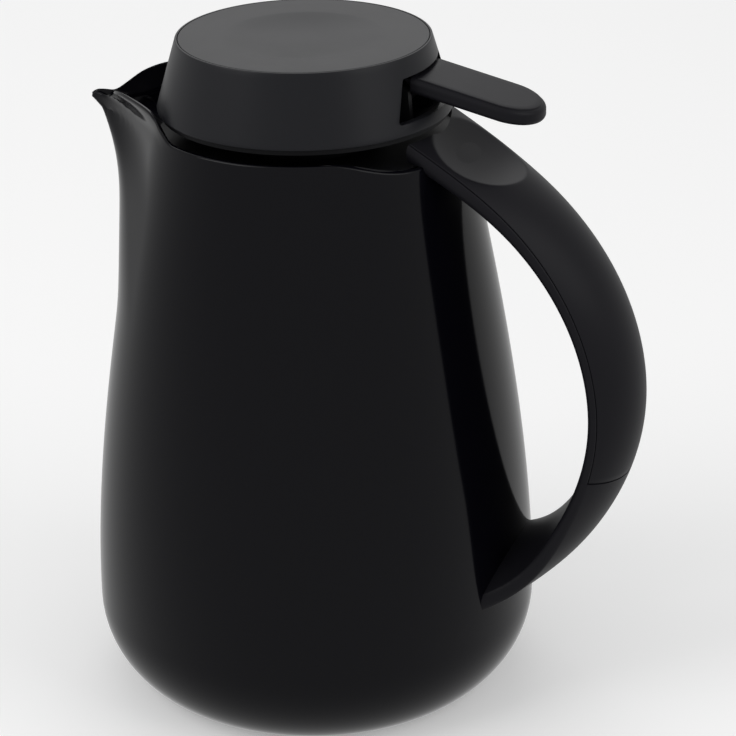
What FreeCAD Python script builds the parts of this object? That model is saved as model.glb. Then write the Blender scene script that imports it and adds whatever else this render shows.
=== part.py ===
import FreeCAD, Part
import math
import os
import Sketcher

# Thermal carafe with a screw-on pouring lid. Millimetres. The origin is the centre of the base, on the
# table. +Z is up, the handle points to +X and the spout to -X.

SIZES = {
    # outer jacket
    "base_radius": "58",
    "belly_radius": "73.5",
    "belly_height": "28",
    "rim_radius": "50",
    "rim_height": "194",
    "belly_pull": "50",
    "rim_pull": "56.3",
    "rim_slope": "12.4",
    "jacket_wall": "2.4",
    "mouth_wall": "1.8",
    "ledge_width": "3.2",
    "ledge_thickness": "2.4",
    "base_opening": "55.8",
    "base_lip": "4",
    "base_ring_height": "13",
    "base_ring_wall": "2",
    # spout
    "spout_foot": "116",
    "lip_reach": "76.7",
    "lip_height": "195.2",
    "lip_radius": "1.9",
    "lip_drop": "1.2",
    "lip_slant": "3.2",
    "lip_round": "2.6",
    "beak_length": "11",
    "beak_top": "9",
    "beak_fade": "8",
    "prow_reach": "62.4",
    "flare_start": "160",
    "wing_flare": "0.45",
    "spout_blend": "1.2",
    "wing_height": "201.4",
    "wing_front_reach": "61",
    "wing_front_height": "199.8",
    "wing_top_reach": "54",
    "wing_back_reach": "40",
    "wing_back_height": "200.7",
    "wing_fall_reach": "35",
    "wing_fall_height": "197.4",
    "wing_end_reach": "29",
    "spout_wall": "2.1",
    "spout_floor": "2.5",
    "rim_dip": "5.6",
    "rim_dip_start": "24",
    "rim_dip_inset": "4",
    "lip_run_out": "8",
    "lip_run_drop": "9",
    # handle
    "handle_half_width": "21.4",
    "handle_root_half_width": "31",
    "handle_edge": "3.2",
    "handle_root_edge": "5.6",
    "handle_crown": "1.5",
    "handle_swell": "8.1",
    "handle_inner_crown": "1",
    "handle_side_round": "0.9",
    "cover_step": "0.35",
    "lid_room": "0.6",
    "handle_reach": "112.8",
    "handle_middle_height": "105",
    "handle_top_height": "197.6",
    "handle_shoulder_reach": "79.5",
    "handle_shoulder_height": "176.1",
    "handle_upper_reach": "105.5",
    "handle_upper_height": "142.7",
    "handle_lower_reach": "102.1",
    "handle_lower_height": "69.7",
    "handle_foot_reach": "80.6",
    "handle_foot_height": "45.4",
    "handle_foot_rise": "13",
    "handle_head_rise": "6",
    "handle_start_inset": "9",
    "handle_end_run": "24",
    "handle_end_drop": "9.5",
    "cover_end_height": "85.5",
    "cover_depth": "2.4",
    "cover_skirt": "0.4",
    "cover_margin": "4",
    "dish_reach": "58",
    "dish_radius": "38",
    "dish_depth": "3.4",
    "screw_radius": "1.75",
    "screw_head_radius": "3.4",
    "screw_head_height": "1.8",
    "spot_face": "0.5",
    "screw_bite": "6",
    "upper_screw_depth": "9.6",
    "lower_screw_rise": "5",
    # glass liner and what holds it
    "glass_radius": "55",
    "glass_wall": "1.4",
    "vacuum_gap": "3",
    "glass_bottom": "12",
    "glass_shoulder": "154",
    "glass_bottom_round": "30",
    "neck_round": "5",
    "neck_bore": "22.4",
    "neck_vacuum": "2",
    "lip_top": "168",
    "lip_thickness": "1.5",
    "spacer_radius": "5",
    "cushion_radius": "20",
    "cushion_bore": "6",
    "spacer_circle": "15",
    "spacer_count": "3",
    "tip_length": "3",
    "tip_radius": "1.6",
    "cap_floor": "2.4",
    "cap_recess": "1",
    "cap_wall": "2.6",
    "cap_slot_width": "9",
    "cap_slot_length": "26",
    "cap_slot_depth": "1.2",
    "cap_slot_reach": "14",
    "thread_fit": "0.1",
    # neck collar and its thread
    "gasket_thickness": "2",
    "collar_bore": "26.6",
    "collar_wall": "3",
    "collar_top": "188",
    "collar_plate": "2",
    "collar_lip_bore": "20.5",
    "collar_lip_thickness": "2",
    "thread_lead": "14",
    "thread_starts": "2",
    "ridge_height": "1.9",
    "ridge_root": "2.6",
    "ridge_crest": "1.4",
    "ridge_bottom": "176.2",
    "ridge_climb": "9",
    "ridge_margin": "1",
    # stopper
    "stopper_radius": "24.2",
    "stopper_wall": "2.4",
    "stopper_floor": "2.4",
    "stopper_gasket_thickness": "1.6",
    "stopper_gasket_inset": "1",
    "stopper_gasket_room": "0.4",
    "valve_hole": "9",
    "port_width": "13",
    "port_bottom": "189.2",
    "port_top": "194.8",
    "port_count": "6",
    # lid
    "flange_radius": "45.9",
    "flange_bottom": "196.4",
    "flange_thickness": "1.6",
    "drum_bottom_radius": "47.2",
    "drum_top_radius": "40.5",
    "drum_top": "220.5",
    "drum_wall": "2.2",
    "drum_chamfer": "0.4",
    "disc_thickness": "2",
    "disc_rim": "0.7",
    "disc_gap": "0.15",
    "disc_ledge": "3",
    "disc_ledge_thickness": "1.2",
    "dish_slope": "8",
    "dish_edge_round": "8",
    "dish_width": "26",
    "lid_dish_depth": "1.7",
    "notch_bottom": "201.6",
    "notch_top": "214.6",
    "notch_bottom_half": "23.5",
    "notch_top_half": "16.8",
    "lid_screw_circle": "39.6",
    "lid_screw_count": "3",
    "lid_screw_radius": "1.25",
    "lid_screw_head_radius": "2.4",
    "lid_screw_head_height": "1.3",
    "lid_screw_bite": "6",
    "hole_slack": "0.05",
    "guide_length": "5",
    "guide_wall": "2.6",
    "lug_rise": "4.2",
    "boss_radius": "3.4",
    "boss_height": "9",
    # lever and valve
    "lever_width": "24",
    "lever_thickness": "4.8",
    "lever_tip_reach": "79",
    "lever_root_reach": "39.5",
    "lever_root_top": "213.4",
    "lever_slope": "13",
    "lever_round": "1.7",
    "pivot_reach": "34",
    "pivot_height": "206",
    "pivot_boss": "3.6",
    "pin_radius": "1.5",
    "pin_clearance": "0.06",
    "arm_width": "15",
    "arm_thickness": "3",
    "lug_gap": "0.4",
    "lug_width": "3",
    "lug_foot": "1",
    "pad_radius": "1.5",
    "pad_top": "205",
    "fork_clearance": "0.7",
    "running_gap": "0.3",
    "stem_radius": "3",
    "stem_clearance": "0.1",
    "stem_top": "210.4",
    "valve_radius": "13.4",
    "valve_thickness": "2.2",
    "seal_thickness": "1.6",
    "seal_inset": "0.5",
    "clip_radius": "6.6",
    "clip_thickness": "1.2",
    "clip_groove": "0.6",
    "arm_relief": "0.8",
    "spring_radius": "5",
    "spring_wire": "0.4",
    "spring_turns": "4",
}


PARTS = (
    "outer_jacket", "handle_strap", "handle_cover", "handle_screws",
    "glass_outer", "glass_inner", "glass_spacers", "liner_cushion", "base_cap", "neck_gasket", "neck_collar",
    "stopper_gasket", "stopper_cup", "lid_base", "lid_shell", "lid_top_disc", "lid_screws",
    "thumb_lever", "lever_pin", "valve_stem", "valve_seal", "stem_clip", "valve_spring",
)


class Size:
    """A number, with the sheet formula that gives it."""

    def __init__(self, number, formula):
        self.number = number
        self.formula = formula

    def __float__(self):
        return self.number

    def __neg__(self):
        return Size(-self.number, f"-1 * {self.formula}")

    def __add__(self, other):
        return Size(self.number + float(other), f"({self.formula} + {text(other)})")

    def __sub__(self, other):
        return Size(self.number - float(other), f"({self.formula} - {text(other)})")

    def __mul__(self, other):
        return Size(self.number * float(other), f"({self.formula} * {text(other)})")

    def __truediv__(self, other):
        return Size(self.number / float(other), f"({self.formula} / {text(other)})")


def text(value):
    """The sheet formula of a Size, or a plain number as text."""
    return value.formula if isinstance(value, Size) else repr(float(value))


class Sizes:
    """The spreadsheet of the document, with each cell as an attribute."""

    def __init__(self, doc):
        sheet = doc.addObject("Spreadsheet::Sheet", "Sizes")
        for row, (name, number) in enumerate(SIZES.items(), start=1):
            sheet.set(f"A{row}", name)
            sheet.set(f"B{row}", number)
            sheet.setAlias(f"B{row}", name)
            setattr(self, name, Size(float(number), f"Sizes.{name}"))
        doc.recompute()


doc = FreeCAD.newDocument("carafe")
s = Sizes(doc)

FULL_TURN = 360
FAR = 300.0  # beyond the whole jug, for blocks that only cut
HALVINGS = 30  # steps of each search by halves
SECTION_STEP = 5.6  # the rise from one level section of the upper jacket to the next
LEAST_STEPS = 4  # the fewest such rises that one solid is lofted over
BEAK_POWER = 4  # how late below the lip its beak is drawn out
LOFT_SPARE = 5  # how far the upper jacket is lofted above the spout's wings before the rim is cut
FLANK_ANGLE = 45  # degrees between the spout's flanks and the jug's middle plane
LEAST_NOSE = 0.6  # smallest radius inside the spout's nose
WALL_OVERLAP = 2.5  # how far the room inside the spout reaches into the room inside the body
CUT_SPARE = 1.0  # how far a cutting block stands past the face it cuts
CHANNEL_SINK = 2.0  # how far below its end the spout's channel is lofted before it is trimmed
NECK_FLAT = 0.8  # level stretch left between the glass shoulder's two rounds
TIP_SPREAD = 1.6  # how many times wider the glass tip is at its root
HANDLE_SECTIONS = 14  # sections that the handle is lofted through
FOOT_START = 0.74  # share of the handle's length at which its foot begins
FOOT_POWER = 1.6  # how late along the foot the handle widens
HEAD_END = 0.2  # the share of the handle over which its lid end is thicker
FOOT_FLAT = 0.9  # share of its crown that the handle loses at its foot
OVER_ALL = 30.0  # how far the block that parts cover from strap stands off the handle
LID_ROOM_SINK = 3.0  # how far the room for the lid reaches below the collar's top
PLUG_INSET = 0.02  # share of the handle's length by which the cover's tongue stops short at each end
SCREW_SLACK = 0.05  # room round a handle screw
HEAD_ROOM = 4.0  # how far the room for a handle screw's head reaches inwards
RIDGE_SINK = 0.5  # how far a thread's ridge is rooted in its wall
BOSS_SHARE = 0.7  # where the lever's neck leaves its boss, as a share of the boss's radius
PADDLE_CLEAR = 4.0  # how far the cut round the lever's end stands off the lever
ROUND_SPARE = 0.05  # what a half-round end falls short of a full half circle
LONG_EDGE = 1.0  # edges of the lever longer than this are rounded


# ---------------------------------------------------------------- sketches and features

def vec(x, y, z=0.0):
    return FreeCAD.Vector(float(x), float(y), float(z))


def new_body(label):
    body = doc.addObject("PartDesign::Body", label)
    body.Label = label
    return body


def plane_of(body, role):
    return next(feature for feature in body.Origin.OriginFeatures if feature.Role == role)


def new_sketch(body, role):
    sketch = body.newObject("Sketcher::SketchObject", f"{body.Name}_sketch")
    sketch.AttachmentSupport = [(plane_of(body, role), "")]
    sketch.MapMode = "FlatFace"
    return sketch


def pin_point(sketch, geometry, end, x, y):
    """Binds one point of a sketch to the sheet."""
    for kind, value in (("DistanceX", x), ("DistanceY", y)):
        constraint = sketch.addConstraint(Sketcher.Constraint(kind, geometry, end, float(value)))
        if isinstance(value, Size):
            sketch.setExpression(f"Constraints[{constraint}]", value.formula)


def outline(sketch, corners):
    """Draws a closed outline through corners (x, y), each bound to the sheet.

    A third value rounds the corner by that radius."""
    points = [vec(corner[0], corner[1]) for corner in corners]
    rounds = [corner[2] if len(corner) > 2 else None for corner in corners]
    count = len(corners)
    starts, ends, arcs = [], [], []
    for index in range(count):
        before = (points[index - 1] - points[index]).normalize()
        after = (points[(index + 1) % count] - points[index]).normalize()
        if rounds[index] is None:
            starts.append(points[index])
            ends.append(points[index])
            arcs.append(None)
            continue
        radius = float(rounds[index])
        half = before.getAngle(after) / 2
        ends.append(points[index] + before * (radius / math.tan(half)))
        starts.append(points[index] + after * (radius / math.tan(half)))
        centre = points[index] + (before + after).normalize() * (radius / math.sin(half))
        arcs.append((centre, radius, before.cross(after).z < 0))
    lines = [
        sketch.addGeometry(Part.LineSegment(starts[index], ends[(index + 1) % count]))
        for index in range(count)
    ]
    for index in range(count):
        arriving, leaving = lines[index - 1], lines[index]
        x, y = corners[index][0], corners[index][1]
        if arcs[index] is None:
            sketch.addConstraint(Sketcher.Constraint("Coincident", arriving, 2, leaving, 1))
            pin_point(sketch, leaving, 1, x, y)
            continue
        centre, radius, left_turn = arcs[index]
        first, last = (ends[index], starts[index]) if left_turn else (starts[index], ends[index])
        from_angle = math.atan2(first.y - centre.y, first.x - centre.x)
        to_angle = math.atan2(last.y - centre.y, last.x - centre.x)
        circle = Part.Circle(centre, FreeCAD.Vector(0, 0, 1), radius)
        arc = sketch.addGeometry(Part.ArcOfCircle(circle, from_angle, to_angle))
        corner = sketch.addGeometry(Part.Point(points[index]), True)
        pin_point(sketch, corner, 1, x, y)
        sketch.addConstraint(Sketcher.Constraint("PointOnObject", corner, 1, arriving))
        sketch.addConstraint(Sketcher.Constraint("PointOnObject", corner, 1, leaving))
        arc_ends = (1, 2) if left_turn else (2, 1)
        sketch.addConstraint(Sketcher.Constraint("Tangent", arriving, 2, arc, arc_ends[0]))
        sketch.addConstraint(Sketcher.Constraint("Tangent", leaving, 1, arc, arc_ends[1]))
        size = sketch.addConstraint(Sketcher.Constraint("Radius", arc, radius))
        if isinstance(rounds[index], Size):
            sketch.setExpression(f"Constraints[{size}]", rounds[index].formula)
    return sketch


def circle_in(sketch, x, y, radius):
    circle = sketch.addGeometry(Part.Circle(vec(x, y), FreeCAD.Vector(0, 0, 1), float(radius)))
    pin_point(sketch, circle, 3, x, y)
    size = sketch.addConstraint(Sketcher.Constraint("Radius", circle, float(radius)))
    sketch.setExpression(f"Constraints[{size}]", radius.formula)
    return sketch


def box_corners(x0, x1, y0, y1):
    return ((x0, y0), (x1, y0), (x1, y1), (x0, y1))


def revolve(body, corners, groove=False):
    """Turns an outline given as (radius, height) about the upright axis."""
    kind = "PartDesign::Groove" if groove else "PartDesign::Revolution"
    sketch = outline(new_sketch(body, "XZ_Plane"), corners)
    feature = body.newObject(kind, f"{body.Name}_turned")
    feature.Profile = sketch
    feature.ReferenceAxis = (sketch, ["V_Axis"])
    feature.Angle = FULL_TURN
    body.Tip = feature
    return feature


def pad(body, sketch, length, middle=False, offset=None, backwards=False):
    if offset is not None:
        sketch.setExpression(".AttachmentOffset.Base.z", offset.formula)
    feature = body.newObject("PartDesign::Pad", f"{body.Name}_pad")
    feature.Profile = sketch
    feature.Length = float(length)
    feature.setExpression("Length", text(length))
    if middle:
        feature.SideType = "Symmetric"
    feature.Reversed = backwards
    body.Tip = feature
    return feature


def pocket(body, sketch, length=None, both_ways=False, offset=None, backwards=False):
    """Cuts a sketch away: through everything, or to a depth."""
    if offset is not None:
        sketch.setExpression(".AttachmentOffset.Base.z", offset.formula)
    feature = body.newObject("PartDesign::Pocket", f"{body.Name}_pocket")
    feature.Profile = sketch
    feature.Type = "ThroughAll" if length is None else "Length"
    if length is not None:
        feature.Length = float(length)
        feature.setExpression("Length", text(length))
    if both_ways:
        feature.SideType = "Symmetric"
    feature.Reversed = backwards
    body.Tip = feature
    return feature


def repeat_around(body, feature, count):
    """Repeats a feature around the upright axis."""
    pattern = body.newObject("PartDesign::PolarPattern", f"{body.Name}_pattern")
    pattern.Originals = [feature]
    pattern.Axis = (plane_of(body, "Z_Axis"), [""])
    pattern.Angle = FULL_TURN
    pattern.Occurrences = int(float(count))
    pattern.setExpression("Occurrences", text(count))
    body.Tip = pattern
    return pattern


def coil(body, sketch, pitch, height):
    """Sweeps a sketch in the XZ plane round the upright axis, right-handed."""
    feature = body.newObject("PartDesign::AdditiveHelix", f"{body.Name}_coil")
    feature.Profile = sketch
    feature.ReferenceAxis = (sketch, ["V_Axis"])
    feature.Mode = 0
    feature.Pitch = float(pitch)
    feature.setExpression("Pitch", pitch.formula)
    feature.Height = float(height)
    feature.setExpression("Height", height.formula)
    feature.LeftHanded = False
    body.Tip = feature
    return feature


def thread_ridge(body, radius, bottom, top, outwards):
    """A two-sided ridge that climbs round a cylinder, repeated once for each start."""
    root = s.ridge_root / 2
    crest = s.ridge_crest / 2
    sink = RIDGE_SINK if outwards else -RIDGE_SINK
    depth = s.ridge_height if outwards else -s.ridge_height
    middle = bottom + root
    corners = (
        (radius - sink, middle - root),
        (radius, middle - root),
        (radius + depth, middle - crest),
        (radius + depth, middle + crest),
        (radius, middle + root),
        (radius - sink, middle + root),
    )
    sketch = outline(new_sketch(body, "XZ_Plane"), corners)
    ridge = coil(body, sketch, s.thread_lead, top - bottom - s.ridge_root)
    doc.recompute()
    return repeat_around(body, ridge, s.thread_starts)


def cylinder(label, radius, height, base, turn=None):
    part = doc.addObject("Part::Cylinder", label)
    part.setExpression("Radius", radius.formula)
    part.setExpression("Height", height.formula)
    if turn is not None:
        part.Placement.Rotation = turn
    for axis, value in zip("xyz", base):
        if isinstance(value, Size):
            part.setExpression(f".Placement.Base.{axis}", value.formula)
    return part


def around(radius, degrees, height):
    """A point on a circle about the upright axis."""
    angle = math.radians(degrees)
    return radius * math.cos(angle), radius * math.sin(angle), height


def compound(label, parts):
    group = doc.addObject("Part::Compound", label)
    group.Label = label
    group.Links = parts
    return group


def shape_part(label, shape):
    part = doc.addObject("Part::Feature", label)
    part.Label = label
    part.Shape = shape
    return part


# ---------------------------------------------------------------- outer jacket

def side_curve(inset):
    """The jacket's side from the belly to the rim, moved inwards by inset."""
    side = Part.BezierCurve()
    side.setPoles([
        vec(s.belly_radius - inset, 0, s.belly_height),
        vec(s.belly_radius - inset, 0, s.belly_height + s.belly_pull),
        vec(s.rim_radius + s.rim_slope - inset, 0, s.rim_height - s.rim_pull),
        vec(s.rim_radius - inset, 0, s.rim_height),
    ])
    return side


def side_point(inset, height):
    """The point of the side at a height."""
    return side_curve(inset).intersectCC(Part.Line(vec(0, 0, height), vec(1, 0, height)))[0]


def jacket_profile(inset, bottom, top):
    """The jacket's outline, moved inwards by inset, as edges from bottom up to top."""
    drop = float(s.belly_radius - s.base_radius)
    arc_radius = (drop ** 2 + float(s.belly_height) ** 2) / (2 * drop)
    centre = vec(s.belly_radius - arc_radius, 0, s.belly_height)
    radius = arc_radius - inset
    start = math.asin((bottom - centre.z) / radius)

    def on_arc(angle):
        return centre + vec(radius * math.cos(angle), 0, radius * math.sin(angle))

    foot = Part.Arc(on_arc(start), on_arc(start / 2), on_arc(0)).toShape()
    side = side_curve(inset)
    end = side_point(inset, top)
    side.segment(0, side.parameter(vec(end.X, 0, end.Z)))
    return [foot, side.toShape()]


def turned_solid(edges):
    """A solid turned from an outline that runs upwards and is closed to the axis."""
    first = edges[0].Vertexes[0].Point
    last = edges[-1].Vertexes[-1].Point
    closing = [
        Part.makeLine(last, vec(0, 0, last.z)),
        Part.makeLine(vec(0, 0, last.z), vec(0, 0, first.z)),
        Part.makeLine(vec(0, 0, first.z), first),
    ]
    wire = Part.Wire(Part.__sortEdges__(edges + closing))
    return Part.Face(wire).revolve(vec(0, 0, 0), vec(0, 0, 1), FULL_TURN)


def jacket_radius(height):
    """The jacket's outer radius at a height above the belly."""
    if height >= float(s.rim_height):
        return float(s.rim_radius)
    return side_point(0, height).X


def spout_reach(height):
    """How far the front of the spout stands out at a height: upright, then flaring to the lip."""
    start, lip = float(s.flare_start), float(s.lip_height)
    upright, full = float(s.prow_reach), float(s.lip_reach)
    if height > lip:
        return full + float(s.wing_flare) * (height - lip)
    rise = max(height - start, 0) / (lip - start)
    front = upright + (full - upright) * rise ** 3
    body = jacket_radius(height)
    return (front + body + math.hypot(front - body, float(s.spout_blend))) / 2


def beak_share(height):
    """How far the nose is drawn out into the lip's narrow beak at a height: fully at the lip only."""
    start, lip = float(s.flare_start), float(s.lip_height)
    if height > lip:
        return max(1 - (height - lip) / float(s.beak_fade), 0)
    return (max(height - start, 0) / (lip - start)) ** BEAK_POWER


def upper_section(height, inset, round_inset=None):
    """A level section of the jacket and spout: a round nose, two hollow flanks and the round body."""
    round_inset = inset if round_inset is None else round_inset
    body = jacket_radius(height)
    reach = spout_reach(height)
    spread = math.cos(math.radians(FLANK_ANGLE))
    nose = max((body - reach * spread) / (1 - spread), float(s.lip_radius))
    centre = reach - nose
    nose = max(nose - inset, LEAST_NOSE)
    body = body - round_inset
    lean = math.acos((body - nose) / centre)
    run = min(float(s.beak_length), centre * math.sin(lean) / 2)
    lean += (math.pi / 2 - lean) * beak_share(height)

    def at(x, radius, angle):
        return FreeCAD.Vector(x - radius * math.cos(angle), radius * math.sin(angle), height)

    nose_left, nose_right, tip = at(-centre, nose, lean), at(-centre, nose, -lean), at(-centre, nose, 0)
    bend = nose_left + FreeCAD.Vector(math.sin(lean), math.cos(lean), 0) * run
    turn = math.atan2(bend.y, -bend.x) + math.acos(min(body / math.hypot(bend.x, bend.y), 1))
    body_left, body_right, back = at(0, body, turn), at(0, body, -turn), at(0, body, math.pi)
    side = (math.pi + turn) / 2
    return Part.Wire([
        Part.Arc(nose_right, tip, nose_left).toShape(),
        flank(nose_left, bend, body_left),
        Part.Arc(body_left, at(0, body, side), back).toShape(),
        Part.Arc(back, at(0, body, -side), body_right).toShape(),
        flank(body_right, FreeCAD.Vector(bend.x, -bend.y, height), nose_right),
    ])


def flank(start, bend, end):
    """One side of the spout's section, leaving and ending along the two lines that meet in its bend."""
    curve = Part.BezierCurve()
    curve.setPoles([start, bend, end])
    return curve.toShape()


def upper_form(bottom, top, inset, round_inset=None):
    """The spout and the body behind it as one solid between two heights."""
    steps = max(round((top - bottom) / SECTION_STEP), LEAST_STEPS)
    heights = [bottom + (top - bottom) * step / steps for step in range(steps + 1)]
    return Part.makeLoft([upper_section(z, inset, round_inset) for z in heights], True, False)


def rim_cutter():
    """Everything above the rim: level round the lid, raised at the spout, lowered at the handle."""
    high = float(s.wing_height) + FAR
    level = FreeCAD.Vector(1, 0, 0)
    spout = Part.BSplineCurve()
    spout.interpolate([
        vec(-s.lip_reach - s.lip_run_out, 0, s.lip_height - s.lip_run_drop),
        vec(-s.lip_reach, 0, s.lip_height - s.lip_round),
        vec(-s.lip_reach + s.lip_slant, 0, s.lip_height),
        vec(-s.lip_reach + s.beak_top, 0, s.lip_height),
        vec(-s.wing_front_reach, 0, s.wing_front_height),
        vec(-s.wing_top_reach, 0, s.wing_height),
        vec(-s.wing_back_reach, 0, s.wing_back_height),
        vec(-s.wing_fall_reach, 0, s.wing_fall_height),
        vec(-s.wing_end_reach, 0, s.rim_height),
    ], InitialTangent=FreeCAD.Vector(1, 0, 1), FinalTangent=level)
    dip = Part.BSplineCurve()
    dip.interpolate([
        vec(s.rim_dip_start, 0, s.rim_height),
        vec(s.rim_radius - s.rim_dip_inset, 0, s.rim_height - s.rim_dip),
        vec(s.handle_reach, 0, s.rim_height - s.rim_dip),
    ], InitialTangent=level, FinalTangent=level)
    first, last = spout.StartPoint, dip.EndPoint
    wire = Part.Wire([
        spout.toShape(),
        Part.makeLine(spout.EndPoint, dip.StartPoint),
        dip.toShape(),
        Part.makeLine(last, vec(last.x, 0, high)),
        Part.makeLine(vec(last.x, 0, high), vec(first.x, 0, high)),
        Part.makeLine(vec(first.x, 0, high), first),
    ])
    face = Part.Face(wire)
    face.translate(vec(0, -FAR, 0))
    return face.extrude(vec(0, 2 * FAR, 0))


def plane_side(reach_a, height_a, reach_b, height_b, below):
    """Everything below or above a floor that slopes along X and passes through two points."""
    deep = -FAR if below else FAR
    slope = (height_b - height_a) / (reach_b - reach_a)

    def on_floor(x):
        return FreeCAD.Vector(x, -FAR, height_a + slope * (x - reach_a))

    left, right = on_floor(-FAR), on_floor(FAR)
    wire = Part.makePolygon([left, right, right + vec(0, 0, deep), left + vec(0, 0, deep), left])
    return Part.Face(wire).extrude(vec(0, 2 * FAR, 0))


def hollow_start():
    """The height from which on the spout stands out from the body by more than the jacket's wall."""
    low, high = float(s.spout_foot), float(s.lip_height)
    for _ in range(HALVINGS):
        middle = (low + high) / 2
        if spout_reach(middle) - jacket_radius(middle) < float(s.jacket_wall):
            low = middle
        else:
            high = middle
    return high


def spout_floor(drop=0.0):
    """Two points, as reach and height, on the line of the spout's floor, lowered by drop."""
    mouth = float(s.rim_radius - s.mouth_wall)
    return -mouth, float(s.collar_top) - drop, -float(s.lip_reach), float(s.lip_height - s.lip_drop) - drop


def column(radius, bottom, height=FAR):
    """An upright round block about the jug's axis."""
    return Part.makeCylinder(float(radius), float(height), vec(0, 0, bottom))


def make_jacket():
    """The form up to the rim before it is hollowed, and the finished jacket."""
    foot, top = float(s.spout_foot), float(s.wing_height) + LOFT_SPARE
    wall, mouth, spout_wall = float(s.jacket_wall), float(s.mouth_wall), float(s.spout_wall)
    seat = float(s.collar_top - s.collar_plate)
    ledge = seat - float(s.ledge_thickness)
    bore = float(s.rim_radius) - mouth
    form = turned_solid(jacket_profile(0, 0, foot)).fuse(upper_form(foot, top, 0)).cut(rim_cutter())
    cavity = turned_solid(jacket_profile(wall, float(s.base_lip), ledge))
    prow = upper_form(hollow_start(), float(s.lip_height), spout_wall, wall + WALL_OVERLAP)
    hollow = prow.common(plane_side(*spout_floor(float(s.spout_floor)), True)).cut(column(bore + wall, ledge))
    channel = upper_form(seat - CHANNEL_SINK, top + CUT_SPARE, spout_wall, mouth + WALL_OVERLAP)
    trough = channel.common(plane_side(*spout_floor(), False)).common(column(FAR, seat))
    assert trough.Volume > 0 and hollow.Volume > 0, "spout"
    ledge_bore = column(bore - float(s.ledge_width), ledge - CUT_SPARE)
    opening = column(s.base_opening, -CUT_SPARE, s.base_lip + 2 * CUT_SPARE)
    ring = column(s.base_opening + s.base_ring_wall, 0, s.base_ring_height)
    ring = ring.cut(column(s.base_opening, -CUT_SPARE, s.base_ring_height + 2 * CUT_SPARE))
    shell = form.cut([cavity, hollow, trough, column(bore, seat), ledge_bore, opening])
    return form, shell.fuse(ring).removeSplitter()


# ---------------------------------------------------------------- handle

class HandlePath:
    """The middle line of the handle's outer face, with what its sections need at each station."""

    def __init__(self):
        curve = Part.BSplineCurve()
        curve.interpolate([
            vec(s.rim_radius - s.handle_start_inset, 0, s.handle_top_height),
            vec(s.handle_shoulder_reach, 0, s.handle_shoulder_height),
            vec(s.handle_upper_reach, 0, s.handle_upper_height),
            vec(s.handle_reach, 0, s.handle_middle_height),
            vec(s.handle_lower_reach, 0, s.handle_lower_height),
            vec(s.handle_foot_reach, 0, s.handle_foot_height),
            vec(s.handle_foot_reach - s.handle_end_run, 0, s.handle_foot_height - s.handle_end_drop),
        ])
        self.edge = curve.toShape()

    def station(self, part):
        """The point at a share of the length, and the direction from it towards the jug."""
        at = self.edge.getParameterByLength(self.edge.Length * part)
        along = self.edge.tangentAt(at)
        return self.edge.valueAt(at), FreeCAD.Vector(along.z, 0, -along.x)

    def share_where(self, passed, low=0.0, high=1.0):
        """The share of the length, between two shares, from which on a condition no longer holds."""
        for _ in range(HALVINGS):
            middle = (low + high) / 2
            if passed(self.station(middle)[0]):
                low = middle
            else:
                high = middle
        return low

    def outermost(self):
        """The share of the length at which the handle stands out furthest."""
        return self.share_where(lambda point: point.z > float(s.handle_middle_height))


def bulge(part):
    """Nought at both ends of the handle and one in its middle."""
    return math.sin(math.pi * part)


def foot_share(part):
    """Nought over most of the handle, growing to one at its foot."""
    return max((part - FOOT_START) / (1 - FOOT_START), 0.0) ** FOOT_POWER


def head_share(part):
    """One at the lid's end of the handle, falling to nought a little way down from it."""
    return max(1 - part / HEAD_END, 0.0) ** FOOT_POWER


def crown_depth(part):
    """How far the outer face's crest stands over its edges."""
    return (float(s.handle_crown) + float(s.handle_swell) * bulge(part)) * (1 - FOOT_FLAT * foot_share(part))


def handle_section(path, part, narrower=0.0):
    point, inward = path.station(part)
    foot = foot_share(part)
    width = float(s.handle_half_width) - narrower
    width += (float(s.handle_root_half_width) - float(s.handle_half_width)) * foot
    edge = point + inward * crown_depth(part)
    root_edge = float(s.handle_root_edge)
    inner = edge + inward * (root_edge - (root_edge - float(s.handle_edge)) * bulge(part))
    rise = float(s.handle_foot_rise) * foot + float(s.handle_head_rise) * head_share(part)
    crest = inner + inward * (float(s.handle_inner_crown) + rise)
    side = vec(0, width, 0)
    soft = vec(0, width - float(s.handle_side_round), 0)
    half_way = (edge + inner) / 2
    return Part.Wire([
        Part.Arc(inner - soft, crest, inner + soft).toShape(),
        Part.Arc(inner + soft, half_way + side, edge + soft).toShape(),
        Part.Arc(edge + soft, point, edge - soft).toShape(),
        Part.Arc(edge - soft, half_way - side, inner - soft).toShape(),
    ])


def handle_form(path, narrower=0.0):
    shares = [step / HANDLE_SECTIONS for step in range(HANDLE_SECTIONS + 1)]
    return Part.makeLoft([handle_section(path, share, narrower) for share in shares], True, False)


def along_handle(path, start, end, depth):
    """A curve beside the handle's path, from one share of the length to another.

    It runs at a depth under the line where the cover meets the strap."""
    points = []
    for step in range(HANDLE_SECTIONS + 1):
        part = start + (end - start) * step / HANDLE_SECTIONS
        point, inward = path.station(part)
        points.append(point + inward * (crown_depth(part) + depth))
    curve = Part.BSplineCurve()
    curve.interpolate(points)
    return curve.toShape()


def band(path, start, end, outer_depth, inner_depth, half_width):
    """A block that follows the handle between two depths."""
    outer = along_handle(path, start, end, outer_depth)
    inner = along_handle(path, start, end, inner_depth)
    wire = Part.Wire([
        outer,
        Part.makeLine(outer.Vertexes[-1].Point, inner.Vertexes[-1].Point),
        inner,
        Part.makeLine(inner.Vertexes[0].Point, outer.Vertexes[0].Point),
    ])
    face = Part.Face(wire)
    face.translate(vec(0, -half_width, 0))
    return face.extrude(vec(0, 2 * half_width, 0))


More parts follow.
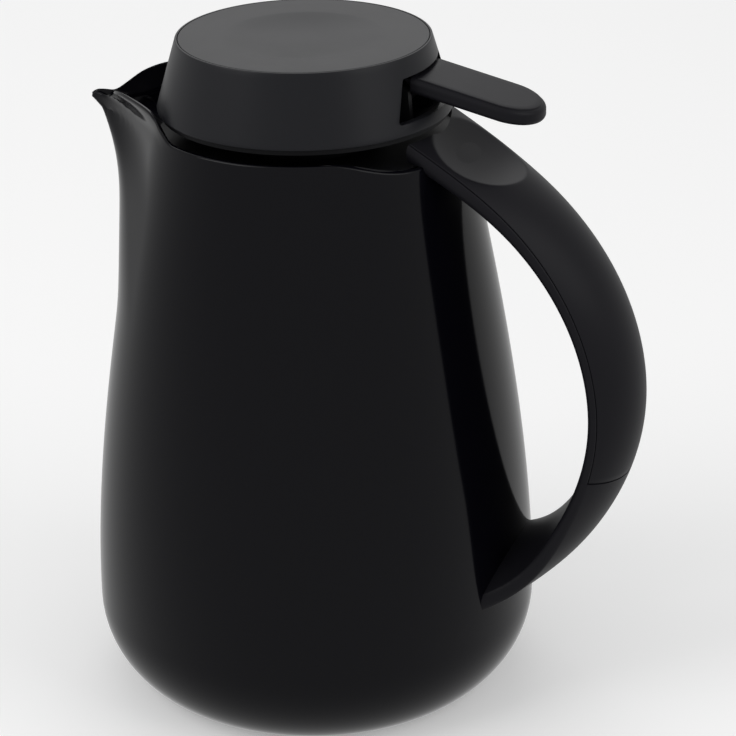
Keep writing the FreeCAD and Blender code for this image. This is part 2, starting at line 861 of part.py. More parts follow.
def handle_screw(height, slack=0.0, head_room=0.0):
    """One handle screw, lying along X with its head let into the jacket's inner side.

    With slack and head_room it is the hole that the screw passes through."""
    seat = side_point(float(s.jacket_wall - s.spot_face), height).X
    along = FreeCAD.Vector(1, 0, 0)
    head_height = float(s.screw_head_height) + head_room
    head_radius = float(s.screw_head_radius) + slack
    head = Part.makeCylinder(head_radius, head_height, vec(seat - head_height, 0, height), along)
    length = float(s.jacket_wall + s.screw_bite) + slack
    shank = Part.makeCylinder(float(s.screw_radius) + slack, length, vec(seat, 0, height), along)
    return head.fuse(shank).removeSplitter()


def upper_screw_height(path):
    """The height at which a screw's tip lies a set depth below the handle's outer line."""
    height = float(s.handle_shoulder_height)
    for _ in range(HALVINGS):
        tip = side_point(0, height).X + float(s.screw_bite)
        over = path.share_where(lambda point: point.x < tip, high=path.outermost())
        height = path.station(over)[0].z - float(s.upper_screw_depth)
    return height


def thumb_dish(path):
    """The ball that presses the thumb's dish into the top of the cover."""
    share = path.share_where(lambda point: point.x < float(s.dish_reach), high=path.outermost())
    point, inward = path.station(share)
    radius = float(s.dish_radius)
    return Part.makeSphere(radius, point - inward * (radius - float(s.dish_depth)))


def make_handle(form):
    """The strap, the cover over it and the screws through the jacket. Gives back the screws' holes."""
    path = HandlePath()
    end = path.share_where(lambda point: point.z > float(s.cover_end_height), low=path.outermost())
    side = float(s.handle_half_width)
    whole = handle_form(path)
    over = band(path, 0, end, -OVER_ALL, float(s.cover_skirt), 3 * side)
    tongue_side = side - float(s.cover_margin)
    tongue = band(path, PLUG_INSET, end - PLUG_INSET, 0, float(s.cover_depth), tongue_side)
    skin = handle_form(path, float(s.cover_step)).common(over)
    lid_room = column(s.flange_radius + s.lid_room, s.collar_top - LID_ROOM_SINK)
    collar = column(s.rim_radius - s.mouth_wall, 0, s.collar_top)
    cover = skin.fuse(tongue.common(whole)).cut([form, lid_room, collar, thumb_dish(path)]).removeSplitter()
    heights = (upper_screw_height(path), float(s.handle_foot_height + s.lower_screw_rise))
    screws = [handle_screw(height) for height in heights]
    holes = [handle_screw(height, SCREW_SLACK, HEAD_ROOM) for height in heights]
    strap = whole.cut([form, over, tongue, lid_room, collar] + holes).removeSplitter()
    shape_part("handle_cover", cover)
    shape_part("handle_strap", strap)
    shape_part("handle_screws", Part.makeCompound(screws))
    return holes


# ---------------------------------------------------------------- glass liner and its holders

def neck_outer():
    return s.neck_bore + s.glass_wall * 2 + s.neck_vacuum


def glass_outline(radius, bottom, shoulder, neck, inset):
    """The corners of one glass surface, from its bottom centre to its neck, moved inwards by inset."""
    shoulder_round = s.glass_radius - neck_outer() - s.neck_round - NECK_FLAT
    return [
        (radius, bottom, s.glass_bottom_round - inset),
        (radius, shoulder, shoulder_round - inset),
        (neck, shoulder, s.neck_round + inset),
    ]


def make_glass():
    """The two walls of the liner, which meet at the neck's lip."""
    wall, gap = s.glass_wall, s.vacuum_gap
    radius, bottom, shoulder = s.glass_radius, s.glass_bottom, s.glass_shoulder
    lip_bottom = s.lip_top - s.lip_thickness
    outer_neck = neck_outer()
    body = new_body("glass_outer")
    outside = glass_outline(radius, bottom, shoulder, outer_neck, s.glass_wall * 0)
    inside = glass_outline(radius - wall, bottom + wall, shoulder - wall, outer_neck - wall, wall)
    tip_end = bottom - s.tip_length
    tip = [(0, tip_end), (s.tip_radius, tip_end), (s.tip_radius * TIP_SPREAD, bottom)]
    top = [(outer_neck, lip_bottom), (outer_neck - wall, lip_bottom)]
    revolve(body, tip + outside + top + inside[::-1] + [(0, bottom + wall)])
    body = new_body("glass_inner")
    deep = wall + gap
    neck = s.neck_bore + wall
    outside = glass_outline(radius - deep, bottom + deep, shoulder - deep, neck, deep)
    deeper = deep + wall
    inside = glass_outline(radius - deeper, bottom + deeper, shoulder - deeper, s.neck_bore, deeper)
    top = [(neck, lip_bottom), (outer_neck, lip_bottom), (outer_neck, s.lip_top), (s.neck_bore, s.lip_top)]
    revolve(body, [(0, bottom + deep)] + outside + top + inside[::-1] + [(0, bottom + deeper)])


def make_liner_holders():
    """The cushion, the screwed cap and the pads under the liner, and the gasket on its lip."""
    body = new_body("liner_cushion")
    cap_top = s.cap_recess + s.cap_floor
    revolve(body, box_corners(s.cushion_bore, s.cushion_radius, cap_top, s.glass_bottom))
    body = new_body("base_cap")
    radius = s.base_opening - s.thread_fit
    top = s.base_ring_height - s.cap_recess
    revolve(body, (
        (0, s.cap_recess), (radius, s.cap_recess), (radius, top), (radius - s.cap_wall, top),
        (radius - s.cap_wall, cap_top), (0, cap_top),
    ))
    half = s.cap_slot_width / 2
    near, far = s.cap_slot_reach, s.cap_slot_reach + s.cap_slot_length
    for left, right in ((near, far), (-far, -near)):
        slot = outline(new_sketch(body, "XY_Plane"), box_corners(left, right, -half, half))
        pocket(body, slot, s.cap_recess + s.cap_slot_depth, backwards=True)
    body = new_body("neck_gasket")
    revolve(body, box_corners(s.neck_bore, neck_outer(), s.lip_top, s.lip_top + s.gasket_thickness))
    count = int(float(s.spacer_count))
    standing = s.glass_bottom + s.glass_wall
    pads = [
        cylinder(f"spacer_{turn}", s.spacer_radius, s.vacuum_gap,
                 around(s.spacer_circle, FULL_TURN * turn / count, standing))
        for turn in range(count)
    ]
    compound("glass_spacers", pads)


def collar_bottom():
    return s.lip_top + s.gasket_thickness


def make_neck_collar():
    body = new_body("neck_collar")
    bottom, lip_top = collar_bottom(), collar_bottom() + s.collar_lip_thickness
    tube = s.collar_bore + s.collar_wall
    mouth = s.rim_radius - s.mouth_wall
    plate = s.collar_top - s.collar_plate
    revolve(body, (
        (s.collar_lip_bore, bottom), (tube, bottom), (tube, plate), (mouth, plate), (mouth, s.collar_top),
        (s.collar_bore, s.collar_top), (s.collar_bore, lip_top), (s.collar_lip_bore, lip_top),
    ))
    half_step = s.thread_lead / s.thread_starts / 2
    thread_ridge(body, s.collar_bore, s.ridge_bottom - half_step, s.collar_top - s.ridge_margin, False)


# ---------------------------------------------------------------- lid

def stopper_bottom():
    return collar_bottom() + s.collar_lip_thickness + s.stopper_gasket_thickness


def make_stopper():
    body = new_body("stopper_gasket")
    inner, outer = s.collar_lip_bore + s.stopper_gasket_inset, s.stopper_radius - s.stopper_gasket_room
    revolve(body, box_corners(inner, outer, collar_bottom() + s.collar_lip_thickness, stopper_bottom()))
    body = new_body("stopper_cup")
    bottom, floor = stopper_bottom(), stopper_bottom() + s.stopper_floor
    inner = s.stopper_radius - s.stopper_wall
    revolve(body, (
        (s.valve_hole, bottom), (s.stopper_radius, bottom), (s.stopper_radius, s.flange_bottom),
        (inner, s.flange_bottom), (inner, floor), (s.valve_hole, floor),
    ))
    thread_ridge(body, s.stopper_radius, s.ridge_bottom, s.ridge_bottom + s.ridge_climb, True)
    half = s.port_width / 2
    port = outline(new_sketch(body, "XZ_Plane"), box_corners(-half, half, s.port_bottom, s.port_top))
    repeat_around(body, pocket(body, port), s.port_count)


def lid_screw_circle(body, radius):
    """A circle at the first lid screw, drawn in a level sketch."""
    return circle_in(new_sketch(body, "XY_Plane"), -s.lid_screw_circle, s.lid_screw_circle * 0, radius)


def make_lid_base():
    """The flange over the stopper, with the stem's guide and the two lugs of the lever's pin."""
    body = new_body("lid_base")
    bore = s.stem_radius + s.stem_clearance
    top = s.flange_bottom + s.flange_thickness
    guide = s.flange_bottom - s.guide_length
    revolve(body, (
        (bore, guide), (bore + s.guide_wall, guide), (bore + s.guide_wall, s.flange_bottom),
        (s.flange_radius, s.flange_bottom), (s.flange_radius, top), (bore, top),
    ))
    inner = s.arm_width / 2 + s.lug_gap
    lug_top, lug_foot = s.pivot_height + s.lug_rise, s.flange_bottom + s.lug_foot
    middle, rise = s.pivot_reach, s.lug_rise
    spread = rise + s.lug_foot
    lug = outline(new_sketch(body, "XZ_Plane"), (
        (middle - spread, lug_foot), (middle + spread, lug_foot),
        (middle + rise, lug_top, rise / 2), (middle - rise, lug_top, rise / 2),
    ))
    pad(body, lug, (inner + s.lug_width) * 2, middle=True)
    reach = rise * 2
    gap = box_corners(middle - reach, middle + reach, top, lug_top + CUT_SPARE)
    between = outline(new_sketch(body, "XZ_Plane"), gap)
    pocket(body, between, inner * 2, both_ways=True)
    pin = circle_in(new_sketch(body, "XZ_Plane"), s.pivot_reach, s.pivot_height, s.pin_radius)
    pocket(body, pin, both_ways=True)
    hole = lid_screw_circle(body, s.lid_screw_radius + s.hole_slack)
    repeat_around(body, pocket(body, hole, backwards=True), s.lid_screw_count)


def make_lid_shell():
    """The drum, with its posts for the lid screws and the lever's notch."""
    body = new_body("lid_shell")
    bottom = s.flange_bottom + s.flange_thickness
    seat = s.drum_top - s.disc_thickness
    opening = s.drum_top_radius - s.disc_rim
    ledge = opening - s.disc_ledge
    under = seat - s.disc_ledge_thickness
    revolve(body, (
        (s.drum_bottom_radius - s.drum_chamfer, bottom), (s.drum_bottom_radius, bottom + s.drum_chamfer),
        (s.drum_top_radius, s.drum_top), (opening, s.drum_top), (opening, seat),
        (ledge, seat), (ledge, under), (s.drum_top_radius - s.drum_wall, under),
        (s.drum_bottom_radius - s.drum_wall, bottom),
    ))
    post = lid_screw_circle(body, s.boss_radius)
    repeat_around(body, pad(body, post, s.boss_height, offset=bottom), s.lid_screw_count)
    pilot = lid_screw_circle(body, s.lid_screw_radius + s.hole_slack)
    pilot_depth = s.lid_screw_bite + CUT_SPARE
    repeat_around(body, pocket(body, pilot, pilot_depth, offset=bottom, backwards=True), s.lid_screw_count)
    notch = outline(new_sketch(body, "YZ_Plane"), (
        (-s.notch_bottom_half, s.notch_bottom), (s.notch_bottom_half, s.notch_bottom),
        (s.notch_top_half, s.notch_top), (-s.notch_top_half, s.notch_top),
    ))
    pocket(body, notch, backwards=True)


def make_lid_disc():
    """The disc that closes the drum, with a shallow dish in its top."""
    body = new_body("lid_top_disc")
    low = s.drum_top - s.lid_dish_depth
    under = s.drum_top - s.disc_thickness
    radius = s.drum_top_radius - s.disc_rim - s.disc_gap
    flat = s.dish_width - s.dish_slope
    revolve(body, (
        (0, low - s.disc_thickness), (flat, low - s.disc_thickness), (s.dish_width, under),
        (radius, under), (radius, s.drum_top), (s.dish_width, s.drum_top, s.dish_edge_round),
        (flat, low, s.dish_edge_round * 2), (0, low),
    ))


def slant(degrees):
    """The fall per unit of length, and the upright height per unit of thickness, of a slanting bar."""
    angle = math.radians(float(degrees))
    return math.tan(angle), 1 / math.cos(angle)


def round_off_paddle(body, tip, half):
    """Cuts the end of the paddle to a half circle."""
    beyond = half + PADDLE_CLEAR
    back = tip - beyond
    ends = outline(new_sketch(body, "XY_Plane"), (
        (tip + PADDLE_CLEAR, -beyond), (tip + PADDLE_CLEAR, beyond), (back, beyond), (back, half),
        (tip, half, half - ROUND_SPARE), (tip, -half, half - ROUND_SPARE), (back, -half), (back, -beyond),
    ))
    pocket(body, ends, both_ways=True)


def soften_paddle(body):
    """Rounds the long edges of the paddle and of its end."""
    doc.recompute()
    edges = [
        f"Edge{number}" for number, edge in enumerate(body.Shape.Edges, start=1)
        if edge.BoundBox.XLength > LONG_EDGE
    ]
    cut_paddle = body.Tip
    fillet = body.newObject("PartDesign::Fillet", "paddle_rounds")
    fillet.Base = (cut_paddle, edges)
    fillet.Radius = float(s.lever_round)
    fillet.setExpression("Radius", s.lever_round.formula)
    body.Tip = fillet


def pad_across(body, sketch):
    """Gives a sketch in the XZ plane the width of the lever's arm."""
    return pad(body, sketch, s.arm_width, middle=True)


def make_lever():
    """The paddle, its neck and boss on the pin, and the forked arm that lifts the stem's clip."""
    body = new_body("thumb_lever")
    fall, upright = slant(s.lever_slope)
    root, tip, top = s.lever_root_reach, s.lever_tip_reach, s.lever_root_top
    drop = (tip - root) * fall
    under = top - s.lever_thickness * upright
    paddle = outline(new_sketch(body, "XZ_Plane"), (
        (root, under), (tip, under - drop), (tip, top - drop), (root, top),
    ))
    pad(body, paddle, s.lever_width, middle=True)
    round_off_paddle(body, tip, s.lever_width / 2)
    soften_paddle(body)
    pivot_x, pivot_z, boss = s.pivot_reach, s.pivot_height, s.pivot_boss
    neck_end = root + s.lever_round / 2
    pad_across(body, outline(new_sketch(body, "XZ_Plane"), (
        (pivot_x, pivot_z - boss), (pivot_x + boss * BOSS_SHARE, pivot_z - boss * BOSS_SHARE),
        (neck_end, under), (neck_end, top - s.lever_round), (pivot_x, pivot_z + boss),
    )))
    pad_across(body, circle_in(new_sketch(body, "XZ_Plane"), pivot_x, pivot_z, boss))
    arm_half = s.arm_thickness / 2
    arm_top = s.pad_top - s.arm_relief
    pad_across(body, outline(new_sketch(body, "XZ_Plane"), (
        (pivot_x, pivot_z - arm_half), (pivot_x, pivot_z + arm_half),
        (-s.pad_radius, arm_top), (-s.pad_radius, arm_top - s.arm_thickness),
    )))
    toe = circle_in(new_sketch(body, "XZ_Plane"), s.pad_radius * 0, s.pad_top - s.pad_radius, s.pad_radius)
    pad_across(body, toe)
    slot = s.stem_radius + s.fork_clearance
    fork = outline(new_sketch(body, "XY_Plane"), box_corners(-slot * 2, slot + s.fork_clearance, -slot, slot))
    pocket(body, fork, both_ways=True)
    hole = circle_in(new_sketch(body, "XZ_Plane"), pivot_x, pivot_z, s.pin_radius + s.pin_clearance)
    pocket(body, hole, both_ways=True)
    pin_length = (s.arm_width / 2 + s.lug_gap + s.lug_width) * 2
    sideways = FreeCAD.Rotation(FreeCAD.Vector(1, 0, 0), -90)
    cylinder("lever_pin", s.pin_radius, pin_length, (pivot_x, pin_length / -2, pivot_z), sideways)


def make_valve():
    """The valve disc on its stem, its seal, the clip in the stem's groove and the spring above it."""
    seat = stopper_bottom() + s.stopper_floor
    disc_bottom = seat + s.seal_thickness
    disc_top = disc_bottom + s.valve_thickness
    clip_bottom = s.pad_top + s.running_gap
    clip_top = clip_bottom + s.clip_thickness
    groove = s.stem_radius - s.clip_groove
    body = new_body("valve_stem")
    revolve(body, (
        (0, disc_bottom), (s.valve_radius, disc_bottom), (s.valve_radius, disc_top),
        (s.stem_radius, disc_top), (s.stem_radius, clip_bottom), (groove, clip_bottom), (groove, clip_top),
        (s.stem_radius, clip_top), (s.stem_radius, s.stem_top), (0, s.stem_top),
    ))
    body = new_body("valve_seal")
    revolve(body, box_corners(s.valve_hole + s.seal_inset, s.valve_radius - s.seal_inset, seat, disc_bottom))
    body = new_body("stem_clip")
    revolve(body, box_corners(groove, s.clip_radius, clip_bottom, clip_top))
    disc_under = s.drum_top - s.lid_dish_depth - s.disc_thickness
    make_spring(clip_top, disc_under)


def make_spring(bottom, top):
    """A coil that stands on the clip and presses against the underside of the lid's disc."""
    body = new_body("valve_spring")
    wire = s.spring_wire
    height = top - bottom - wire * 2
    profile = circle_in(new_sketch(body, "XZ_Plane"), s.spring_radius, bottom + wire, wire)
    coil(body, profile, height / s.spring_turns, height)


def make_lid_screws():
    """The screws that hold the flange to the drum, driven from below."""
    head_height, bite = float(s.lid_screw_head_height), float(s.lid_screw_bite)
    circle, seat = float(s.lid_screw_circle), float(s.flange_bottom)
    count = int(float(s.lid_screw_count))
    screws = []
    for turn in range(count):
        degrees = FULL_TURN / 2 + FULL_TURN * turn / count
        under, above = vec(*around(circle, degrees, seat - head_height)), vec(*around(circle, degrees, seat))
        head = Part.makeCylinder(float(s.lid_screw_head_radius), head_height, under)
        shank = Part.makeCylinder(float(s.lid_screw_radius), bite, above)
        screws.append(head.fuse(shank).removeSplitter())
    shape_part("lid_screws", Part.makeCompound(screws))


# ---------------------------------------------------------------- build and export

def export_parts():
    """Checks every sub-part and writes it to its own STEP file."""
    os.makedirs("parts", exist_ok=True)
    for item in doc.Objects:
        assert "Invalid" not in item.State and "Error" not in item.State, item.Label
    for label in PARTS:
        shape = doc.getObjectsByLabel(label)[0].Shape
        assert not shape.isNull() and shape.isValid(), label
        shape.exportStep(f"parts/{label}.step")


if __name__ == "__main__":
    form, jacket = make_jacket()
    holes = make_handle(form)
    shape_part("outer_jacket", jacket.cut(holes))
    make_glass()
    make_liner_holders()
    make_neck_collar()
    make_stopper()
    make_lid_base()
    make_lid_shell()
    make_lid_disc()
    make_lid_screws()
    make_lever()
    make_valve()
    doc.recompute()
    export_parts()
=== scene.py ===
import math

import bmesh
import bpy
from mathutils import Matrix, Vector


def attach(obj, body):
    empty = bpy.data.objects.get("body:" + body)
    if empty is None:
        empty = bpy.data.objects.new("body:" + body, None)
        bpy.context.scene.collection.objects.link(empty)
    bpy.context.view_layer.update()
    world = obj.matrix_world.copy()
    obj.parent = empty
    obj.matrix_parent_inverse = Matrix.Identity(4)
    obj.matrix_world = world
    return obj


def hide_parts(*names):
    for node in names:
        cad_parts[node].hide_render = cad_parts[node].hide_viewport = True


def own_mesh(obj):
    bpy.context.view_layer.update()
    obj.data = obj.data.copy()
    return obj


bl_info = {
    "name": "Thermal carafe",
    "version": (1, 0, 0),
    "blender": (4, 5, 0),
    "location": "3D View > Sidebar > Carafe",
    "description": "Builds the visible pieces, finishes and stage of a thermal carafe with a screw-on lid",
    "category": "Add Mesh",
}

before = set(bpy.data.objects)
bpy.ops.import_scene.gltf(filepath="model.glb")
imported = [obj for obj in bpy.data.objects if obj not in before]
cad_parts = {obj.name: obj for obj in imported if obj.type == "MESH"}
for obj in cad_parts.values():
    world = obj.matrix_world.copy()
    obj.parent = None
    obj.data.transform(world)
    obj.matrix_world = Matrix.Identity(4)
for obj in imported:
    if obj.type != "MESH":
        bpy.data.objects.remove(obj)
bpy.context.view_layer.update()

# Lengths in this file are millimetres unless a name says otherwise. +X is the handle's side, -X the spout's.
MM = 0.001

# ---------------------------------------------------------------- the jug's form

BASE_RADIUS, BASE_OPENING, BASE_RING_TOP = 58.0, 55.8, 13.0
# Radius and height of the softened edge that the jug stands on, and the height of the next ring over it.
BASE_EDGE, BASE_EDGE_TOP = ((57.4, 0.0), (57.9, 0.12)), 0.5
BELLY_RADIUS, BELLY_HEIGHT, SPOUT_FOOT = 73.5, 28.0, 116.0
RIM_RADIUS, RIM_HEIGHT = 50.0, 194.0
# The side's curve: four corners of radius and height, of which the middle two only draw it.
SIDE = ((BELLY_RADIUS, BELLY_HEIGHT), (BELLY_RADIUS, 78.0), (62.4, 137.7), (RIM_RADIUS, RIM_HEIGHT))
JACKET_WALL, MOUTH_WALL, SPOUT_WALL = 2.4, 1.8, 2.1
LEDGE_BORE, LEDGE_BOTTOM, LEDGE_TOP, COLLAR_TOP = 45.0, 183.6, 186.0, 188.0
INNER_HEIGHTS = (LEDGE_BOTTOM, *range(170, 40, -20), BELLY_HEIGHT, 20.0, BASE_RING_TOP)
RIM_SEARCH, FLOOR_SEARCH, SEARCH_STEPS = (180.0, 206.0), (184.0, 198.0), 22
FOOT_ROWS, FOOT_CROWDING, RIM_CROWDING, TIP_CROWDING = 14, 1.5, 1.15, 1.8
TROUGH_SHARES = (0.35, 0.7, 1.0)
JACKET_CREASE = 40
PROW_REACH, FLARE_START, LIP_REACH, LIP_HEIGHT, LIP_RADIUS = 62.4, 160.0, 76.7, 195.2, 1.9
LIP_DROP, WING_FLARE, SPOUT_BLEND = 1.2, 0.45, 1.2
BEAK_LENGTH, BEAK_FADE, BEAK_POWER, LEAST_NOSE = 11.0, 8.0, 4, 0.6
FLANK_ANGLE = math.radians(45)
# The rim's height at places along x, from the spout's tip to where it turns level.
RIM_LINE = (
    (-84.7, 186.2), (-76.7, 192.6), (-73.5, 195.2), (-67.7, 195.2), (-61.0, 199.8),
    (-54.0, 201.4), (-40.0, 200.7), (-35.0, 197.4), (-29.0, 194.0),
)
DIP_START, DIP_END, DIP_DEPTH = 24.0, 46.0, 5.6


def mix(a, b, share):
    """The value at a share of the way from a to b."""
    return a + (b - a) * share


def smooth_step(share):
    """A share from 0 to 1 that starts and ends level."""
    share = min(max(share, 0.0), 1.0)
    return share * share * (3 - 2 * share)


def bisect(function, low, high, steps=30):
    """The place between low and high where an increasing function passes nought."""
    for _ in range(steps):
        middle = (low + high) / 2
        if function(middle) < 0:
            low = middle
        else:
            high = middle
    return (low + high) / 2


def side_at(share):
    """Radius and height of the jug's side at a share of its curve."""
    rest = 1 - share
    weights = (rest ** 3, 3 * rest ** 2 * share, 3 * rest * share ** 2, share ** 3)
    return tuple(sum(weight * corner[axis] for weight, corner in zip(weights, SIDE)) for axis in (0, 1))


def body_radius(height):
    """The round body's radius at a height."""
    if height <= BELLY_HEIGHT:
        drop = BELLY_RADIUS - BASE_RADIUS
        arc = (drop ** 2 + BELLY_HEIGHT ** 2) / (2 * drop)
        return BELLY_RADIUS - arc + math.sqrt(arc ** 2 - (BELLY_HEIGHT - height) ** 2)
    if height >= RIM_HEIGHT:
        return RIM_RADIUS
    return side_at(bisect(lambda share: side_at(share)[1] - height, 0.0, 1.0))[0]


def spout_reach(height):
    """How far the spout's front stands out at a height; low down it is the body's own radius."""
    body = body_radius(height)
    if height > LIP_HEIGHT:
        return LIP_REACH + WING_FLARE * (height - LIP_HEIGHT)
    rise = max(height - FLARE_START, 0) / (LIP_HEIGHT - FLARE_START)
    front = PROW_REACH + (LIP_REACH - PROW_REACH) * rise ** 3
    reach = (front + body + math.hypot(front - body, SPOUT_BLEND)) / 2
    return mix(body, reach, smooth_step((height - BELLY_HEIGHT) / (SPOUT_FOOT - BELLY_HEIGHT)))


def beak_share(height):
    """How far the nose is drawn out into the lip's narrow beak at a height."""
    if height > LIP_HEIGHT:
        return max(1 - (height - LIP_HEIGHT) / BEAK_FADE, 0)
    return (max(height - FLARE_START, 0) / (LIP_HEIGHT - FLARE_START)) ** BEAK_POWER


class Level:
    """A level outline of the jug: a round nose, two hollow flanks and the round body behind them."""

    def __init__(self, height, spout_wall=0.0, body_wall=0.0):
        body, reach = body_radius(height), spout_reach(height)
        spread = math.cos(FLANK_ANGLE)
        nose = max((body - reach * spread) / (1 - spread), LIP_RADIUS)
        centre = max(reach - nose, 1e-4)
        nose = max(nose - spout_wall, LEAST_NOSE)
        body -= body_wall
        lean = math.acos(min(max((body - nose) / centre, 0.0), 1.0))
        run = min(BEAK_LENGTH, centre * math.sin(lean) / 2)
        lean += (math.pi / 2 - lean) * beak_share(height)
        self.root = Vector((-centre - nose * math.cos(lean), nose * math.sin(lean)))
        self.bend = self.root + Vector((math.sin(lean), math.cos(lean))) * run
        self.turn = math.atan2(self.bend.y, -self.bend.x) + math.acos(min(body / self.bend.length, 1))
        self.end = Vector((-body * math.cos(self.turn), body * math.sin(self.turn)))
        self.centre, self.nose, self.body = centre, nose, body
        self.arc = nose * lean
        self.flank = ((self.bend - self.root).length + (self.end - self.bend).length
                      + (self.end - self.root).length) / 2
        self.length = self.arc + self.flank + body * (math.pi - self.turn)

    def at(self, share):
        """The point at a share of the way from the tip of the spout round to the handle's side."""
        run = share * self.length
        if run < self.arc:
            angle = run / self.nose
            return -self.centre - self.nose * math.cos(angle), self.nose * math.sin(angle)
        run -= self.arc
        if run < self.flank:
            part = run / self.flank
            rest = 1 - part
            return tuple(self.root * rest ** 2 + self.bend * 2 * part * rest + self.end * part ** 2)
        angle = self.turn + (run - self.flank) / self.body
        return -self.body * math.cos(angle), self.body * math.sin(angle)


def hermite(points, x):
    """A smooth line through points that starts with their fall and ends level."""
    if x <= points[0][0]:
        return points[0][1]
    if x >= points[-1][0]:
        return points[-1][1]
    count = len(points)
    slopes = [1.0] + [0.0] * (count - 1)
    for i in range(1, count - 1):
        slopes[i] = (points[i + 1][1] - points[i - 1][1]) / (points[i + 1][0] - points[i - 1][0])
    i = max(k for k in range(count - 1) if points[k][0] <= x)
    (x0, y0), (x1, y1) = points[i], points[i + 1]
    wide = x1 - x0
    t = (x - x0) / wide
    return ((2 * t ** 3 - 3 * t ** 2 + 1) * y0 + (t ** 3 - 2 * t ** 2 + t) * wide * slopes[i]
            + (3 * t ** 2 - 2 * t ** 3) * y1 + (t ** 3 - t ** 2) * wide * slopes[i + 1])


def rim_line(x):
    """The rim's height: raised at the spout, level round the lid, lowered at the handle."""
    return hermite(RIM_LINE, x) - DIP_DEPTH * smooth_step((x - DIP_START) / (DIP_END - DIP_START))


def trough_floor(x):
    """The height of the spout's floor, which rises from the mouth to the lip."""
    slope = (LIP_HEIGHT - LIP_DROP - COLLAR_TOP) / (LIP_REACH - RIM_RADIUS + MOUTH_WALL)
    return COLLAR_TOP + slope * max(-x - RIM_RADIUS + MOUTH_WALL, 0.0)


# ---------------------------------------------------------------- meshes

ARC_STEPS, CREASE = 4, 35
# The most of an edge that a rounding takes: on the rim, on a turned outline and on the handle's section.
RIM_SHARE, OUTLINE_SHARE, SECTION_SHARE = 0.48, 0.499, 0.45


def make_object(name, points, faces, crease=CREASE):
    """A mesh object from points in millimetres, with its doubles merged and its faces pointing outwards."""
    mesh = bpy.data.meshes.new(name)
    mesh.from_pydata([Vector(point) * MM for point in points], [], faces)
    work = bmesh.new()
    work.from_mesh(mesh)
    bmesh.ops.remove_doubles(work, verts=work.verts, dist=1e-6)
    bmesh.ops.recalc_face_normals(work, faces=work.faces)
    work.to_mesh(mesh)
    work.free()
    obj = bpy.data.objects.new(name, mesh)
    bpy.context.scene.collection.objects.link(obj)
    shade(obj, crease)
    return obj


def shade(obj, crease):
    """Shades a piece smooth, apart from edges sharper than the crease in degrees."""
    for face in obj.data.polygons:
        face.use_smooth = True
    obj.data.set_sharp_from_angle(angle=math.radians(crease))


def skin_rings(rings, closed_along=False, capped=False):
    """Points and faces of a skin over rings of equal count; each ring is closed."""
    count = len(rings[0])
    points = [point for ring in rings for point in ring]
    faces = []
    last = len(rings) if closed_along else len(rings) - 1
    for row in range(last):
        low, high = row * count, (row + 1) % len(rings) * count
        for k in range(count):
            after = (k + 1) % count
            faces.append((low + k, low + after, high + after, high + k))
    if capped:
        faces.append(tuple(reversed(range(count))))
        faces.append(tuple(range((len(rings) - 1) * count, len(rings) * count)))
    return points, faces


def lathe(outline, segments):
    """Rings of a closed outline of (radius, height) turned about the upright axis."""
    rings = []
    for radius, height in outline:
        ring = []
        for k in range(segments):
            angle = 2 * math.pi * k / segments
            ring.append((radius * math.cos(angle), radius * math.sin(angle), height))
        rings.append(ring)
    return rings


def arc(start, corner, end):
    """A soft turn from start to end that leans towards the corner."""
    points = []
    for step in range(ARC_STEPS + 1):
        t = step / ARC_STEPS
        points.append(tuple(start * (1 - t) ** 2 + corner * 2 * t * (1 - t) + end * t ** 2))
    return points


def round_corners(corners):
    """A closed outline whose corners (x, y, radius) are rounded, where they have a radius."""
    outline = []
    for i, corner in enumerate(corners):
        here = Vector(corner[:2])
        radius = corner[2] if len(corner) > 2 else 0.0
        if not radius:
            outline.append(tuple(here))
            continue
        before = Vector(corners[i - 1][:2]) - here
        after = Vector(corners[(i + 1) % len(corners)][:2]) - here
        most = min(before.length, after.length) * OUTLINE_SHARE
        cut = min(radius / math.tan(before.angle(after) / 2), most)
        outline += arc(here + before.normalized() * cut, here, here + after.normalized() * cut)
    return outline


def cut_away(obj, tool):
    """Adds a modifier that cuts a tool's space out of a piece."""
    cut = obj.modifiers.new(tool.name, "BOOLEAN")
    cut.operation = "DIFFERENCE"
    cut.solver = "EXACT"
    cut.object = tool


def apply_modifiers(obj):
    """Turns what the modifiers make into a plain mesh."""
    depsgraph = bpy.context.evaluated_depsgraph_get()
    mesh = bpy.data.meshes.new_from_object(obj.evaluated_get(depsgraph))
    obj.modifiers.clear()
    obj.data = mesh


def coat(obj, material):
    """Gives a piece one material."""
    obj.data.materials.clear()
    obj.data.materials.append(material)


def place(obj, body, slot, *nodes):
    """Fixes a finished piece to its body, in place of its CAD nodes."""
    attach(obj, body)
    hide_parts(*nodes)


# ---------------------------------------------------------------- jacket

def mirrored(half_ring):
    """A whole ring from the half that runs from the tip to the back."""
    return half_ring + [(x, -y, z) for x, y, z in half_ring[-2:0:-1]]


def inner_level(height):
    """The level outline of the wall's inner side, above the collar."""
    return Level(height, SPOUT_WALL, MOUTH_WALL)


def rim_height(share, level_at):
    """Where the column at a share of the outline meets the rim."""
    return bisect(lambda z: z - rim_line(level_at(z).at(share)[0]), *RIM_SEARCH, SEARCH_STEPS)


def floor_height(share):
    """Where the inner column at a share of the outline meets the trough's floor."""
    return bisect(lambda z: z - trough_floor(inner_level(z).at(share)[0]), *FLOOR_SEARCH, SEARCH_STEPS)


def half_ring(level_at, shares, heights):
    """Half a ring whose columns each have their own height."""
    return [(*level_at(height).at(share), height) for share, height in zip(shares, heights)]


def lathe_half(radius, height, shares):
    """Half a level ring, from the spout's side to the handle's."""
    angles = [math.pi * share for share in shares]
    return [(-radius * math.cos(angle), radius * math.sin(angle), height) for angle in angles]


